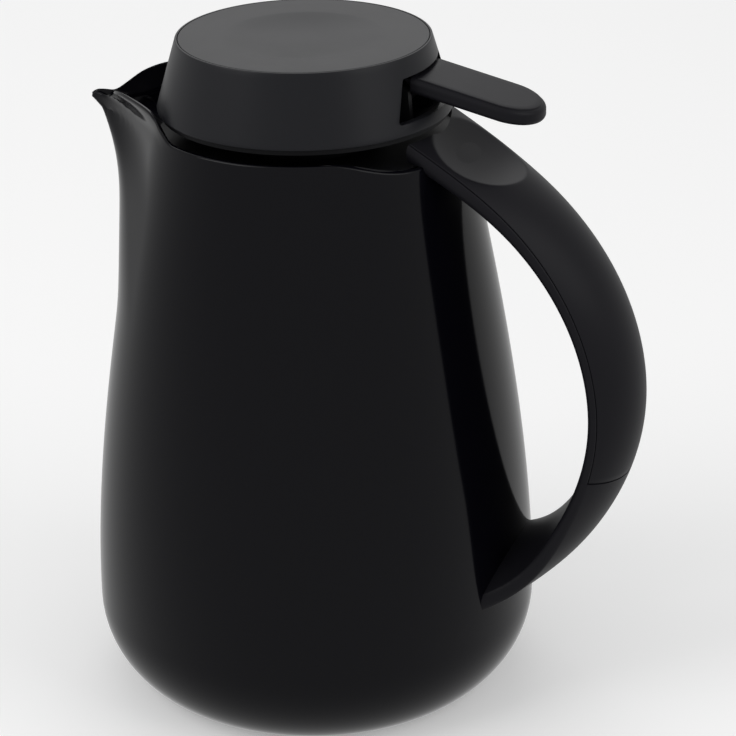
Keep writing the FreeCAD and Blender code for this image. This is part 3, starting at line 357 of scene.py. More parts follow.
def outside_rings(rows, shares, rim_round):
    """Rings from under the base up the outside to just below the rim."""
    rings = [lathe_half(BASE_OPENING, 0.0, shares)]
    rings += [lathe_half(radius, height, shares) for radius, height in BASE_EDGE]
    foot = [BELLY_HEIGHT * (k / FOOT_ROWS) ** FOOT_CROWDING for k in range(1, FOOT_ROWS + 1)]
    rings += [lathe_half(body_radius(height), height, shares) for height in [BASE_EDGE_TOP] + foot]
    tops = [rim_height(share, Level) - rim_round for share in shares]
    for row in range(1, rows + 1):
        part = 1 - (1 - row / rows) ** RIM_CROWDING
        rings.append(half_ring(Level, shares, [mix(BELLY_HEIGHT, top, part) for top in tops]))
    return rings


def trough_rings(shares, inner_tops):
    """Rings down the spout's inner side, over its floor and to the top of the collar."""
    feet = [floor_height(share) for share in shares]
    rings = []
    for part in TROUGH_SHARES:
        heights = [mix(top[2], foot, part) for top, foot in zip(inner_tops, feet)]
        rings.append(half_ring(inner_level, shares, heights))
    mouth = RIM_RADIUS - MOUTH_WALL
    bore = []
    for x, y, z in rings[-1]:
        angle = math.atan2(y, -x)
        bore.append((-mouth * math.cos(angle), mouth * math.sin(angle), COLLAR_TOP))
    floor = []
    for foot, end in zip(rings[-1], bore):
        x, y = mix(foot[0], end[0], 0.5), mix(foot[1], end[1], 0.5)
        floor.append((x, y, trough_floor(x)))
    return rings + [floor, bore]


def inside_rings(bore):
    """Rings below the mouth: round the ledge and down the wall's inner side."""
    mouth = RIM_RADIUS - MOUTH_WALL
    places = [(mouth, LEDGE_TOP), (LEDGE_BORE, LEDGE_TOP), (LEDGE_BORE, LEDGE_BOTTOM)]
    places += [(body_radius(height) - JACKET_WALL, height) for height in INNER_HEIGHTS]
    rings = []
    for radius, height in places:
        rings.append([(x * radius / mouth, y * radius / mouth, height) for x, y, z in bore])
    return rings


def jacket_rings(rows, half_columns, rim_round):
    """The jacket's skin: up its outside, over the rim, down the trough and mouth, and down inside."""
    shares = [(k / half_columns) ** TIP_CROWDING for k in range(half_columns + 1)]
    rings = outside_rings(rows, shares, rim_round)
    rims = [rim_height(share, inner_level) for share in shares]
    inner_tops = [(x, y, z - rim_round) for x, y, z in half_ring(inner_level, shares, rims)]
    rings += rim_rings(rings[-1], inner_tops, rim_round)
    rings += trough_rings(shares, inner_tops)
    rings += inside_rings(rings[-1])
    rings.append(lathe_half(BASE_OPENING, BASE_RING_TOP, shares))
    return [mirrored(ring) for ring in rings]


def rim_rings(outer, inner, rim_round):
    """The rounded top edge between the outer and the inner side of the wall."""
    turns = [math.pi / 2 * step / ARC_STEPS for step in range(ARC_STEPS + 1)]
    climb = [(outer, inner, turn) for turn in turns[1:]]
    fall = [(inner, outer, turn) for turn in reversed(turns)]
    rings = []
    for near, far, turn in climb + fall:
        rise = rim_round * math.sin(turn)
        ring = []
        for (x, y, z), there in zip(near, far):
            across_x, across_y = there[0] - x, there[1] - y
            width = max(math.hypot(across_x, across_y), 1e-6)
            move = min(rim_round * (1 - math.cos(turn)), width * RIM_SHARE) / width
            ring.append((x + across_x * move, y + across_y * move, z + rise))
        rings.append(ring)
    return rings


def build_jacket(sizes, finish):
    """The jug's jacket as one closed skin."""
    rings = jacket_rings(sizes.jacket_rows, sizes.jacket_columns, sizes.rim_round / MM)
    jacket = make_object("jug_jacket", *skin_rings(rings, closed_along=True), crease=JACKET_CREASE)
    coat(jacket, finish)
    place(jacket, "jug", "jacket_gloss", "outer_jacket")


# ---------------------------------------------------------------- handle

# The handle's outer line, from the lid down to the foot.
HANDLE_LINE = (
    (41.0, 197.6), (79.5, 176.1), (105.5, 142.7), (112.8, 105.0), (102.1, 69.7), (80.6, 45.4), (56.6, 35.9),
)
HANDLE_HALF, HANDLE_ROOT_HALF, HANDLE_EDGE, HANDLE_ROOT_EDGE = 21.4, 31.0, 3.2, 5.6
HANDLE_CROWN, HANDLE_SWELL, INNER_CROWN, SIDE_ROUND = 1.5, 8.1, 1.0, 0.9
FOOT_START, FOOT_RISE, FOOT_POWER, FOOT_FLAT = 0.74, 13.0, 1.6, 0.9
HEAD_END, HEAD_RISE = 0.2, 6.0
COVER_STEP, COVER_SKIRT, COVER_END_HEIGHT = 0.35, 0.4, 85.5
LID_ROOM, LID_ROOM_BOTTOM, LID_ROOM_TOP, LID_ROOM_SIDES = 46.5, 185.0, 230.5, 256
DISH_REACH, DISH_RADIUS, DISH_DEPTH, DISH_SPREAD, DISH_SOFTNESS = 59.5, 38.0, 4.2, 0.5, 0.12
HANDLE_INSET, HANDLE_CREASE = 0.02, 40
# Shares of the handle's length at its ends, and the reach up to which its rings are close together.
HANDLE_START, HANDLE_STOP, CLOSE_RINGS_REACH = 0.005, 0.985, 78.0
UPPER_LINE, LOWER_LINE, LINE_STEP, LINE_SAMPLES = (0.0, 0.4), (0.3, 1.0), 0.002, 1200
CLOSE_SPACING, WIDE_SPACING, COVER_ROUND, SEAM_HALF = 0.6, 2.0, 0.3, 0.15
COVER_COLUMNS, STRAP_COLUMNS, SIDE_STEPS = 64, 40, 8
# The solid of the jug's outside that trims the handle: its bottom, rows, columns and closing rings.
FORM_BOTTOM, FORM_ROWS, FORM_COLUMNS, FORM_TOP_SHARES = 28.0, 40, 120, (0.9, 0.75, 0.5, 0.25, 0.02)


class HandleLine:
    """The handle's outer line, as points spaced evenly along it."""

    def __init__(self):
        knots = [0.0]
        for a, b in zip(HANDLE_LINE, HANDLE_LINE[1:]):
            knots.append(knots[-1] + math.dist(a, b))
        curves = [natural_spline(knots, [corner[axis] for corner in HANDLE_LINE]) for axis in (0, 1)]
        places = [knots[-1] * k / LINE_SAMPLES for k in range(LINE_SAMPLES + 1)]
        fine = [tuple(curve(place) for curve in curves) for place in places]
        runs = [0.0]
        for a, b in zip(fine, fine[1:]):
            runs.append(runs[-1] + math.dist(a, b))
        self.fine, self.runs, self.length = fine, runs, runs[-1]

    def point(self, share):
        """The point at a share of the length."""
        run = min(max(share, 0.0), 1.0) * self.length
        low, high = 0, len(self.runs) - 1
        while high - low > 1:
            middle = (low + high) // 2
            if self.runs[middle] <= run:
                low = middle
            else:
                high = middle
        part = (run - self.runs[low]) / (self.runs[high] - self.runs[low])
        x, z = (mix(self.fine[low][axis], self.fine[high][axis], part) for axis in (0, 1))
        return Vector((x, 0, z))

    def station(self, share):
        """The point at a share of the length, and the direction from it towards the jug."""
        along = (self.point(share + LINE_STEP) - self.point(share - LINE_STEP)).normalized()
        return self.point(share), Vector((along.z, 0, -along.x))

    def share_at_height(self, height):
        """Where the line's lower part passes a height."""
        return bisect(lambda share: height - self.point(share).z, *LOWER_LINE)

    def share_at_reach(self, reach):
        """Where the line's upper part passes a distance from the axis."""
        return bisect(lambda share: self.point(share).x - reach, *UPPER_LINE)


def natural_spline(knots, values):
    """A smooth curve through values at knots, straight at its ends."""
    count = len(knots)
    gaps = [b - a for a, b in zip(knots, knots[1:])]
    bends = [0.0] * count
    diagonal, right = [1.0] * count, [0.0] * count
    for i in range(1, count - 1):
        diagonal[i] = 2 * (gaps[i - 1] + gaps[i])
        right[i] = 6 * ((values[i + 1] - values[i]) / gaps[i] - (values[i] - values[i - 1]) / gaps[i - 1])
    for i in range(2, count - 1):
        share = gaps[i - 1] / diagonal[i - 1]
        diagonal[i] -= share * gaps[i - 1]
        right[i] -= share * right[i - 1]
    for i in range(count - 2, 0, -1):
        bends[i] = (right[i] - gaps[i] * bends[i + 1]) / diagonal[i]

    def curve(at):
        i = max(k for k in range(count - 1) if knots[k] <= at or k == 0)
        gap = gaps[i]
        a, b = (knots[i + 1] - at) / gap, (at - knots[i]) / gap
        return (a * values[i] + b * values[i + 1]
                + ((a ** 3 - a) * bends[i] + (b ** 3 - b) * bends[i + 1]) * gap ** 2 / 6)

    return curve


class HandleSection:
    """The handle's section at a share of its length: y across, depth in from the crest of its outer face."""

    def __init__(self, share, narrower=0.0):
        bulge = math.sin(math.pi * min(share, 1))
        foot = max((share - FOOT_START) / (1 - FOOT_START), 0.0) ** FOOT_POWER
        head = max(1 - share / HEAD_END, 0.0) ** FOOT_POWER
        self.width = HANDLE_HALF - narrower + (HANDLE_ROOT_HALF - HANDLE_HALF) * foot
        self.crown = (HANDLE_CROWN + HANDLE_SWELL * bulge) * (1 - FOOT_FLAT * foot)
        self.soft = self.width - SIDE_ROUND
        self.edge = HANDLE_ROOT_EDGE - (HANDLE_ROOT_EDGE - HANDLE_EDGE) * bulge
        self.inner = self.crown + self.edge
        self.crest = INNER_CROWN + FOOT_RISE * foot + HEAD_RISE * head

    def outer(self, y):
        """The depth of the outer face."""
        return self.crown * arc_rise(self.soft, self.crown, y)

    def inside(self, y):
        """The depth of the face towards the jug."""
        return self.inner + self.crest * (1 - arc_rise(self.soft, self.crest, y))

    def side(self, depth):
        """Half the width at a depth between the two edges."""
        part = (depth - self.crown) / self.edge
        return self.soft + SIDE_ROUND * 4 * part * (1 - part)


def arc_rise(half, rise, y):
    """The share of its rise that an arc of a given half width has fallen at y."""
    radius = (half ** 2 + rise ** 2) / (2 * rise)
    return (radius - math.sqrt(max(radius ** 2 - y ** 2, 0.0))) / rise


def strap_loop(section, covered, across, edge_round):
    """The strap's section as (y, depth), cut flat below the cover."""
    top = section.crown + COVER_SKIRT if covered else section.crown
    edge = section.side(top) if covered else section.soft
    spans = [mix(-edge, edge, k / across) for k in range(across + 1)]
    inside = [mix(section.soft, -section.soft, k / across) for k in range(across + 1)]
    face = [(y, top if covered else section.outer(y)) for y in spans]
    back = [(y, section.inside(y)) for y in inside]
    depths = [mix(top, section.inner, k / SIDE_STEPS) for k in range(1, SIDE_STEPS)]
    right = [(section.side(depth), depth) for depth in depths]
    left = [(-y, depth) for y, depth in reversed(right)]
    return soften(face, right, back, left, edge_round)


def cover_loop(section, gap, across, edge_round):
    """The cover's section: the handle's crown with a skirt down to the strap."""
    low = section.crown + COVER_SKIRT - gap
    spans = [mix(-section.soft, section.soft, k / across) for k in range(across + 1)]
    face = [(y, section.outer(y)) for y in spans]
    edge = section.side(low)
    back = [(y, low) for y in (edge, edge / 2, 0.0, -edge / 2, -edge)]
    middle = section.crown + (COVER_SKIRT - gap) / 2
    right = [(section.side(middle), middle)]
    left = [(-y, depth) for y, depth in right]
    return soften(face, right, back, left, edge_round)


def soften(face, right, back, left, radius):
    """A closed loop of four sides with its corners rounded."""
    loop = []
    sides = (face, right, back, left)
    for k, side in enumerate(sides):
        before, after = sides[k - 1], sides[(k + 1) % 4]
        side = list(side)
        if k % 2 == 0:
            start, end = Vector(side[0]), Vector(side[-1])
            loop += corner_arc(Vector(before[-1]), start, Vector(side[1]), radius)
            loop += side[1:-1]
            loop += corner_arc(Vector(side[-2]), end, Vector(after[0]), radius)
        else:
            loop += side
    return loop


def corner_arc(before, corner, after, radius):
    """The rounded corner between two neighbours."""
    back, ahead = before - corner, after - corner
    start = corner + back * min(radius / back.length, SECTION_SHARE)
    return arc(start, corner, corner + ahead * min(radius / ahead.length, SECTION_SHARE))


def sweep(line, stations, loop_at, press=None):
    """Rings along the handle's line, each through the loop of its station."""
    rings = []
    for share in stations:
        point, inward = line.station(share)
        ring = []
        for y, depth in loop_at(share):
            if press is not None:
                depth += press(point, inward, y, depth)
            spot = point + inward * (depth + HANDLE_INSET)
            ring.append((spot.x, y, spot.z))
        rings.append(ring)
    return rings


def thumb_dish(line):
    """How deep the thumb's dish presses below a point of the cover's crown."""
    crest, down = line.station(line.share_at_reach(DISH_REACH))
    centre = crest - down * (DISH_RADIUS - DISH_DEPTH)

    def press(point, inward, y, depth):
        from_centre = point + inward * depth + Vector((0, y * DISH_SPREAD, 0)) - centre
        b = from_centre.dot(inward)
        c = from_centre.length_squared - DISH_RADIUS ** 2
        if b * b - c < 0:
            return 0.0
        sunk = math.sqrt(b * b - c) - b
        return (sunk + math.hypot(sunk, DISH_SOFTNESS)) / 2

    return press


def even_stations(start, end, spacing):
    """Places from start to end that are about spacing apart."""
    count = max(int(round((end - start) / spacing)), 1)
    return [mix(start, end, k / count) for k in range(count + 1)]


def jug_form():
    """A solid of the jug's outside, closed over at the rim, that trims what is joined to the jug."""
    shares = [k / FORM_COLUMNS for k in range(FORM_COLUMNS + 1)]
    tops = [rim_height(share, Level) for share in shares]
    rings = [mirrored(lathe_half(body_radius(FORM_BOTTOM), FORM_BOTTOM, shares))]
    for row in range(1, FORM_ROWS + 1):
        heights = [mix(FORM_BOTTOM, top, row / FORM_ROWS) for top in tops]
        rings.append(mirrored(half_ring(Level, shares, heights)))
    rim = rings[-1]
    for share in FORM_TOP_SHARES:
        rings.append([(x * share, y * share, rim_line(x * share)) for x, y, z in rim])
    return make_object("jug_form", *skin_rings(rings, capped=True))


def lid_space():
    """The round room for the lid, which the handle's top keeps clear of."""
    rings = lathe([(LID_ROOM, LID_ROOM_BOTTOM), (LID_ROOM, LID_ROOM_TOP)], LID_ROOM_SIDES)
    return make_object("lid_space", *skin_rings(rings, capped=True))


def cover_rings(line, cover_end, gap, edge_round):
    """Rings of the cover, close together at the thumb's dish, with its lower end drawn in."""
    near = line.share_at_reach(CLOSE_RINGS_REACH)
    last = cover_end - COVER_ROUND / line.length
    stations = even_stations(HANDLE_START, near, CLOSE_SPACING / line.length)
    stations += even_stations(near, last, WIDE_SPACING / line.length)[1:]

    def cover_at(share):
        return cover_loop(HandleSection(share, COVER_STEP), gap, COVER_COLUMNS, edge_round)

    rings = sweep(line, stations, cover_at, thumb_dish(line))
    move = line.station(cover_end)[0] - line.station(stations[-1])[0]
    return rings + [shrunk(rings[-1], COVER_ROUND, move)]


def strap_rings(line, cover_end, edge_round):
    """Rings of the strap, which is cut flat as far as the cover lies on it."""
    seam = cover_end + SEAM_HALF / line.length
    spacing = WIDE_SPACING / line.length
    stations = even_stations(HANDLE_START, seam, spacing) + even_stations(seam + 1e-4, HANDLE_STOP, spacing)

    def strap_at(share):
        return strap_loop(HandleSection(share), share <= seam, STRAP_COLUMNS, edge_round)

    return sweep(line, stations, strap_at)


def build_handle(sizes, finish):
    """The handle's cover and strap, trimmed to the jug and clear of the lid."""
    line = HandleLine()
    cover_end = line.share_at_height(COVER_END_HEIGHT)
    edge_round = sizes.handle_edge_round / MM
    tools = [jug_form(), lid_space()]
    pieces = (
        ("handle_top_cover", "handle_cover", cover_rings(line, cover_end, sizes.seam_gap / MM, edge_round)),
        ("handle_strap_body", "handle_strap", strap_rings(line, cover_end, edge_round)),
    )
    for name, solid, rings in pieces:
        piece = make_object(name, *skin_rings(rings, capped=True), crease=HANDLE_CREASE)
        for tool in tools:
            cut_away(piece, tool)
        apply_modifiers(piece)
        shade(piece, HANDLE_CREASE)
        coat(piece, finish)
        place(piece, "jug", "jacket_gloss", solid)
    for tool in tools:
        bpy.data.objects.remove(tool)


def shrunk(ring, amount, move):
    """A ring drawn in towards its middle and moved on."""
    middle = sum((Vector(point) for point in ring), Vector()) / len(ring)
    drawn = []
    for point in ring:
        inward = middle - Vector(point)
        drawn.append(tuple(Vector(point) + inward * min(amount / max(inward.length, 1e-6), 1) + move))
    return drawn


# ---------------------------------------------------------------- lid

DRUM_BOTTOM, DRUM_TOP, DRUM_LEVELS, LID_CREASE = 198.0, 220.5, 12, 30
DRUM_BOTTOM_RADIUS, DRUM_TOP_RADIUS, DRUM_WALL = 47.2, 40.5, 2.2
OPENING_RADIUS, OPENING_ROUND = DRUM_TOP_RADIUS - 0.7, 0.15
DISC_GAP, DISC_ROUND, DISC_LEDGE, DISC_LEDGE_THICKNESS, DISC_THICKNESS = 0.15, 0.35, 3.0, 1.2, 2.0
DISH_WIDTH, LID_DISH_DEPTH, BOWL_DEPTH, BOWL_POWER, BOWL_RINGS, AXIS_HOLE = 26.0, 1.7, 2.6, 1.15, 24, 1.0
NOTCH = ((-23.5, 201.6, 1.2), (23.5, 201.6, 1.2), (16.8, 214.6, 1.2), (-16.8, 214.6, 1.2))
NOTCH_REACH, NOTCH_ROUND, NOTCH_EDGE_ANGLE = (20.0, 80.0), 0.25, math.radians(50)


def build_drum(sizes, finish):
    """The lid's sloping drum with the notch for its lever, hollow from below and open for the disc above."""
    soft = sizes.lid_edge_round / MM
    seat = DRUM_TOP - DISC_THICKNESS
    under = seat - DISC_LEDGE_THICKNESS
    ledge = OPENING_RADIUS - DISC_LEDGE
    corners = [(DRUM_BOTTOM_RADIUS, DRUM_BOTTOM, soft)]
    for k in range(1, DRUM_LEVELS):
        share = k / DRUM_LEVELS
        corners.append((mix(DRUM_BOTTOM_RADIUS, DRUM_TOP_RADIUS, share), mix(DRUM_BOTTOM, DRUM_TOP, share)))
    corners += [(DRUM_TOP_RADIUS, DRUM_TOP, soft), (OPENING_RADIUS, DRUM_TOP, OPENING_ROUND)]
    corners += [(OPENING_RADIUS, seat), (ledge, seat), (ledge, under)]
    for share in (0.0, 0.5, 1.0):
        radius = mix(DRUM_TOP_RADIUS, DRUM_BOTTOM_RADIUS, share) - DRUM_WALL
        corners.append((radius, mix(under, DRUM_BOTTOM, share)))
    rings = lathe(round_corners(corners), sizes.lid_segments)
    drum = make_object("lid_drum", *skin_rings(rings, closed_along=True), crease=LID_CREASE)
    cut_notch(drum)
    coat(drum, finish)
    place(drum, "lid", "lid_satin", "lid_shell")


def build_disc(sizes, finish):
    """The disc in the drum's top, hollowed to a shallow bowl."""
    seat = DRUM_TOP - DISC_THICKNESS
    radius = OPENING_RADIUS - DISC_GAP
    outline = [(radius, DRUM_TOP, DISC_ROUND)]
    for k in range(BOWL_RINGS + 1):
        reach = mix(DISH_WIDTH, AXIS_HOLE, k / BOWL_RINGS)
        outline.append((reach, DRUM_TOP - BOWL_DEPTH * (1 - (reach / DISH_WIDTH) ** 2) ** BOWL_POWER))
    outline += [(AXIS_HOLE, seat - LID_DISH_DEPTH), (DISH_WIDTH, seat), (radius, seat)]
    rings = lathe(round_corners(outline), sizes.lid_segments)
    disc = make_object("lid_disc", *skin_rings(rings, closed_along=True), crease=LID_CREASE)
    fill_poles(disc)
    coat(disc, finish)
    place(disc, "lid", "lid_satin", "lid_top_disc")


def fill_poles(obj):
    """Closes the small hole that a turned ring leaves at the axis: its wall goes and its ends are filled."""
    near = AXIS_HOLE * 1.01 * MM
    work = bmesh.new()
    work.from_mesh(obj.data)
    wall = [face for face in work.faces if all(math.hypot(v.co.x, v.co.y) < near for v in face.verts)]
    bmesh.ops.delete(work, geom=wall, context="FACES_ONLY")
    bmesh.ops.holes_fill(work, edges=[edge for edge in work.edges if edge.is_boundary], sides=0)
    bmesh.ops.recalc_face_normals(work, faces=work.faces)
    work.to_mesh(obj.data)
    work.free()
    shade(obj, LID_CREASE)


def cut_notch(drum):
    """Opens the drum for the lever, then softens the edges of the opening."""
    rings = [[(x, y, z) for y, z in round_corners(NOTCH)] for x in NOTCH_REACH]
    tool = make_object("notch_tool", *skin_rings(rings, capped=True))
    cut_away(drum, tool)
    bevel = drum.modifiers.new("soft edges", "BEVEL")
    bevel.width = NOTCH_ROUND * MM
    bevel.segments = 2
    bevel.limit_method = "ANGLE"
    bevel.angle_limit = NOTCH_EDGE_ANGLE
    apply_modifiers(drum)
    bpy.data.objects.remove(tool)
    shade(drum, LID_CREASE)


# ---------------------------------------------------------------- lever, spring and screws

LEVER_ROOT, LEVER_TIP, LEVER_TOP, LEVER_HALF, LEVER_SLOPE = 39.5, 79.0, 213.4, 12.0, math.radians(13)
# The plate on the paddle, from its hidden foot up: inset from the paddle's edge, rise over it, and root.
PLATE_STEPS = (
    (1.1, -1.7, 37.4), (1.1, -1.1, 37.4), (1.1, -0.1, 40.4), (1.1, 0.16, 41.3), (1.2, 0.3, 41.9),
    (1.5, 0.38, 42.5), (3.5, 0.4, 44.5),
)
PADDLE_SIDE_STEPS, PADDLE_END_STEPS, PADDLE_ROOT_STEPS, FINE_CREASE = 10, 40, 12, 50
SPRING_RADIUS, SPRING_WIRE, SPRING_TURNS, TURN_STEPS, WIRE_SIDES = 5.0, 0.4, 4, 36, 10
SPRING_BOTTOM, SPRING_TOP, VALVE_TRAVEL = 206.5, 216.8, 4.7
SCREW_CIRCLE, SCREW_SEAT, SCREW_COUNT, SCREW_SIDES = 39.6, 196.4, 3, 48
SCREW_RADIUS, SCREW_LENGTH, SCREW_HEAD_RADIUS, SCREW_HEAD_HEIGHT = 1.25, 6.0, 2.4, 1.3
RECESS_RADIUS, RECESS_WAVE, RECESS_LOBES, RECESS_DEPTH = 1.0, 0.16, 6, 0.8


def paddle_outline(inset, root):
    """The paddle's outline from above: straight sides and a half round end."""
    half = LEVER_HALF - inset
    centre = LEVER_TIP - LEVER_HALF
    outline = [(mix(root, centre, k / PADDLE_SIDE_STEPS), -half) for k in range(PADDLE_SIDE_STEPS)]
    for k in range(PADDLE_END_STEPS + 1):
        angle = math.pi * (k / PADDLE_END_STEPS - 0.5)
        outline.append((centre + half * math.cos(angle), half * math.sin(angle)))
    outline += [(mix(centre, root, k / PADDLE_SIDE_STEPS), half) for k in range(1, PADDLE_SIDE_STEPS + 1)]
    outline += [(root, mix(half, -half, k / PADDLE_ROOT_STEPS)) for k in range(1, PADDLE_ROOT_STEPS)]
    return outline


def build_lever_plate(finish):
    """The raised plate that the thumb rests on, with a ramp at its root."""
    rings = []
    for inset, rise, root in PLATE_STEPS:
        top = LEVER_TOP + rise
        outline = paddle_outline(inset, root)
        rings.append([(x, y, top - (x - LEVER_ROOT) * math.tan(LEVER_SLOPE)) for x, y in outline])
    plate = make_object("lever_thumb_plate", *skin_rings(rings, capped=True), crease=FINE_CREASE)
    coat(plate, finish)
    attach(plate, "lever")


def build_spring(finish):
    """The coil between the valve's clip and the lid's disc. It shortens as the valve rises, but is built
    here at one fixed length.
    """
    steps = SPRING_TURNS * TURN_STEPS
    rings = []
    for k in range(steps + 1):
        angle = 2 * math.pi * SPRING_TURNS * k / steps
        height = mix(SPRING_BOTTOM + SPRING_WIRE, SPRING_TOP - SPRING_WIRE, k / steps)
        ring = []
        for side in range(WIRE_SIDES):
            turn = 2 * math.pi * side / WIRE_SIDES
            reach, rise = SPRING_RADIUS + SPRING_WIRE * math.cos(turn), SPRING_WIRE * math.sin(turn)
            ring.append((reach * math.cos(angle), reach * math.sin(angle), height + rise))
        rings.append(ring)
    spring = make_object("valve_spring_coil", *skin_rings(rings, capped=True), crease=FINE_CREASE)
    coat(spring, finish)
    place(spring, "lid", "spring_steel", "valve_spring")
    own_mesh(spring)


def lobed_ring(height):
    """A ring of the driver's recess in a screw's head."""
    ring = []
    for k in range(SCREW_SIDES):
        angle = 2 * math.pi * k / SCREW_SIDES
        radius = RECESS_RADIUS + RECESS_WAVE * math.cos(RECESS_LOBES * angle)
        ring.append((radius * math.cos(angle), radius * math.sin(angle), height))
    return ring


def screw_template():
    """One screw that stands head down, with a six-lobed recess for its driver."""
    low, wide = -SCREW_HEAD_HEIGHT, SCREW_HEAD_RADIUS
    outline = (
        (wide - 0.4, low), (wide - 0.1, low + 0.15), (wide, low + 0.45), (wide, 0),
        (SCREW_RADIUS, 0), (SCREW_RADIUS, SCREW_LENGTH - 0.6), (SCREW_RADIUS - 0.5, SCREW_LENGTH),
    )
    rings = [lobed_ring(low + RECESS_DEPTH), lobed_ring(low)] + lathe(outline, SCREW_SIDES)
    return make_object("screw_template", *skin_rings(rings, capped=True))


def screw_ring_tree():
    """Copies of a template set out evenly round a circle, as one mesh."""
    tree = bpy.data.node_groups.new("screw_ring", "GeometryNodeTree")
    face = tree.interface
    kinds = {"Screw": "Object", "Count": "Int", "Circle": "Float", "Seat": "Float", "Material": "Material"}
    for name, kind in kinds.items():
        face.new_socket(name, in_out="INPUT", socket_type="NodeSocket" + kind)
    face.new_socket("Geometry", in_out="OUTPUT", socket_type="NodeSocketGeometry")
    ends_in = node(tree, "NodeGroupInput")
    ends_out = node(tree, "NodeGroupOutput")
    circle = node(tree, "GeometryNodeMeshCircle")
    lift = node(tree, "ShaderNodeCombineXYZ")
    turn = node(tree, "GeometryNodeTransform")
    turn.inputs["Rotation"].default_value = (0, 0, math.pi)
    template = node(tree, "GeometryNodeObjectInfo")
    copies = node(tree, "GeometryNodeInstanceOnPoints")
    solid = node(tree, "GeometryNodeRealizeInstances")
    painted = node(tree, "GeometryNodeSetMaterial")
    wire(
        tree,
        (ends_in, "Count", circle, "Vertices"),
        (ends_in, "Circle", circle, "Radius"),
        (ends_in, "Seat", lift, "Z"),
        (lift, "Vector", turn, "Translation"),
        (circle, "Mesh", turn, "Geometry"),
        (turn, "Geometry", copies, "Points"),
        (ends_in, "Screw", template, "Object"),
        (template, "Geometry", copies, "Instance"),
        (copies, "Instances", solid, "Geometry"),
        (solid, "Geometry", painted, "Geometry"),
        (ends_in, "Material", painted, "Material"),
        (painted, "Geometry", ends_out, "Geometry"),
    )
    return tree


def build_lid_screws(finish):
    """The screws that hold the drum to the lid's base, set out round a circle."""
    template = screw_template()
    holder = bpy.data.objects.new("lid_screw_set", bpy.data.meshes.new("lid_screw_set"))
    bpy.context.scene.collection.objects.link(holder)
    tree = screw_ring_tree()
    ring = holder.modifiers.new("screw ring", "NODES")
    ring.node_group = tree
    values = {
        "Screw": template,
        "Count": SCREW_COUNT,
        "Circle": SCREW_CIRCLE * MM,
        "Seat": SCREW_SEAT * MM,
        "Material": finish,
    }
    for item in tree.interface.items_tree:
        if item.in_out == "INPUT":
            ring[item.identifier] = values[item.name]
    apply_modifiers(holder)
    bpy.data.objects.remove(template)
    shade(holder, CREASE)
    place(holder, "lid", "screw_steel", "lid_screws")


# ---------------------------------------------------------------- finishes

GRAIN_DEPTH = 0.1


def node(tree, kind, **values):
    """A new node with its settings."""
    fresh = tree.nodes.new(kind)
    for name, value in values.items():
        setattr(fresh, name, value)
    return fresh


def wire(tree, *links):
    """Links sockets, each link given as node, output, node and input."""
    for source, output, target, socket in links:
        tree.links.new(source.outputs[output], target.inputs[socket])


def fine_grain():
    """Shared moulded grain: a height for Bump and a small change of roughness."""
    group = bpy.data.node_groups.new("moulded_grain", "ShaderNodeTree")
    face = group.interface
    face.new_socket("Vector", in_out="INPUT", socket_type="NodeSocketVector")
    defaults = {"Grain Scale": 2500.0, "Smudge Scale": 45.0, "Roughness": 0.4, "Smudge": 0.04}
    for name, default in defaults.items():
        face.new_socket(name, in_out="INPUT", socket_type="NodeSocketFloat").default_value = default
    face.new_socket("Height", in_out="OUTPUT", socket_type="NodeSocketFloat")
    face.new_socket("Roughness", in_out="OUTPUT", socket_type="NodeSocketFloat")
    ends_in = node(group, "NodeGroupInput")
    ends_out = node(group, "NodeGroupOutput")
    grain = node(group, "ShaderNodeTexNoise")
    grain.inputs["Detail"].default_value = 3.0
    smudge = node(group, "ShaderNodeTexNoise")
    smudge.inputs["Detail"].default_value = 4.0
    scale = node(group, "ShaderNodeMath", operation="MULTIPLY_ADD")
    centre = node(group, "ShaderNodeMath", operation="SUBTRACT")
    centre.inputs[1].default_value = 0.5
    wire(
        group,
        (ends_in, "Vector", grain, "Vector"),
        (ends_in, "Vector", smudge, "Vector"),
        (ends_in, "Grain Scale", grain, "Scale"),
        (ends_in, "Smudge Scale", smudge, "Scale"),
        (smudge, "Fac", centre, 0),
        (centre, 0, scale, 0),
        (ends_in, "Smudge", scale, 1),
        (ends_in, "Roughness", scale, 2),
        (grain, "Fac", ends_out, "Height"),
        (scale, 0, ends_out, "Roughness"),
    )
    return group


def make_finish(name, colour, roughness, smudge, bump, metallic=0.0, ior=1.45):
    """A plain surface with the shared grain, made when its name is first asked for."""
    if name in bpy.data.materials:
        return bpy.data.materials[name]
    material = bpy.data.materials.new(name)
    material.use_nodes = True
    tree = material.node_tree
    shader = tree.nodes["Principled BSDF"]
    shader.inputs["Base Color"].default_value = (*colour, 1.0)
    shader.inputs["Metallic"].default_value = metallic
    shader.inputs["IOR"].default_value = ior
    coordinates = node(tree, "ShaderNodeTexCoord")
    grain = bpy.data.node_groups.get("moulded_grain") or fine_grain()
    surface = node(tree, "ShaderNodeGroup", node_tree=grain)
    surface.inputs["Roughness"].default_value = roughness
    surface.inputs["Smudge"].default_value = smudge
    bumps = node(tree, "ShaderNodeBump")
    bumps.inputs["Strength"].default_value = bump
    bumps.inputs["Distance"].default_value = GRAIN_DEPTH * MM
    wire(
        tree,
        (coordinates, "Object", surface, "Vector"),
        (surface, "Roughness", shader, "Roughness"),
        (surface, "Height", bumps, "Height"),
        (bumps, "Normal", shader, "Normal"),
    )
    return material


def gloss_black(looks):
    """The jacket."""
    return make_finish("gloss black", looks.jacket_colour, looks.jacket_roughness, 0.02, 0.0, ior=1.27)


def satin_black(looks):
    """The handle and the lever."""
    return make_finish("satin black", looks.handle_colour, looks.handle_roughness, 0.05, 0.1, ior=1.22)


def satin_charcoal(looks):
    """The lid's drum and disc."""
    return make_finish("satin charcoal", looks.lid_colour, looks.lid_roughness, 0.06, 0.12, ior=1.3)


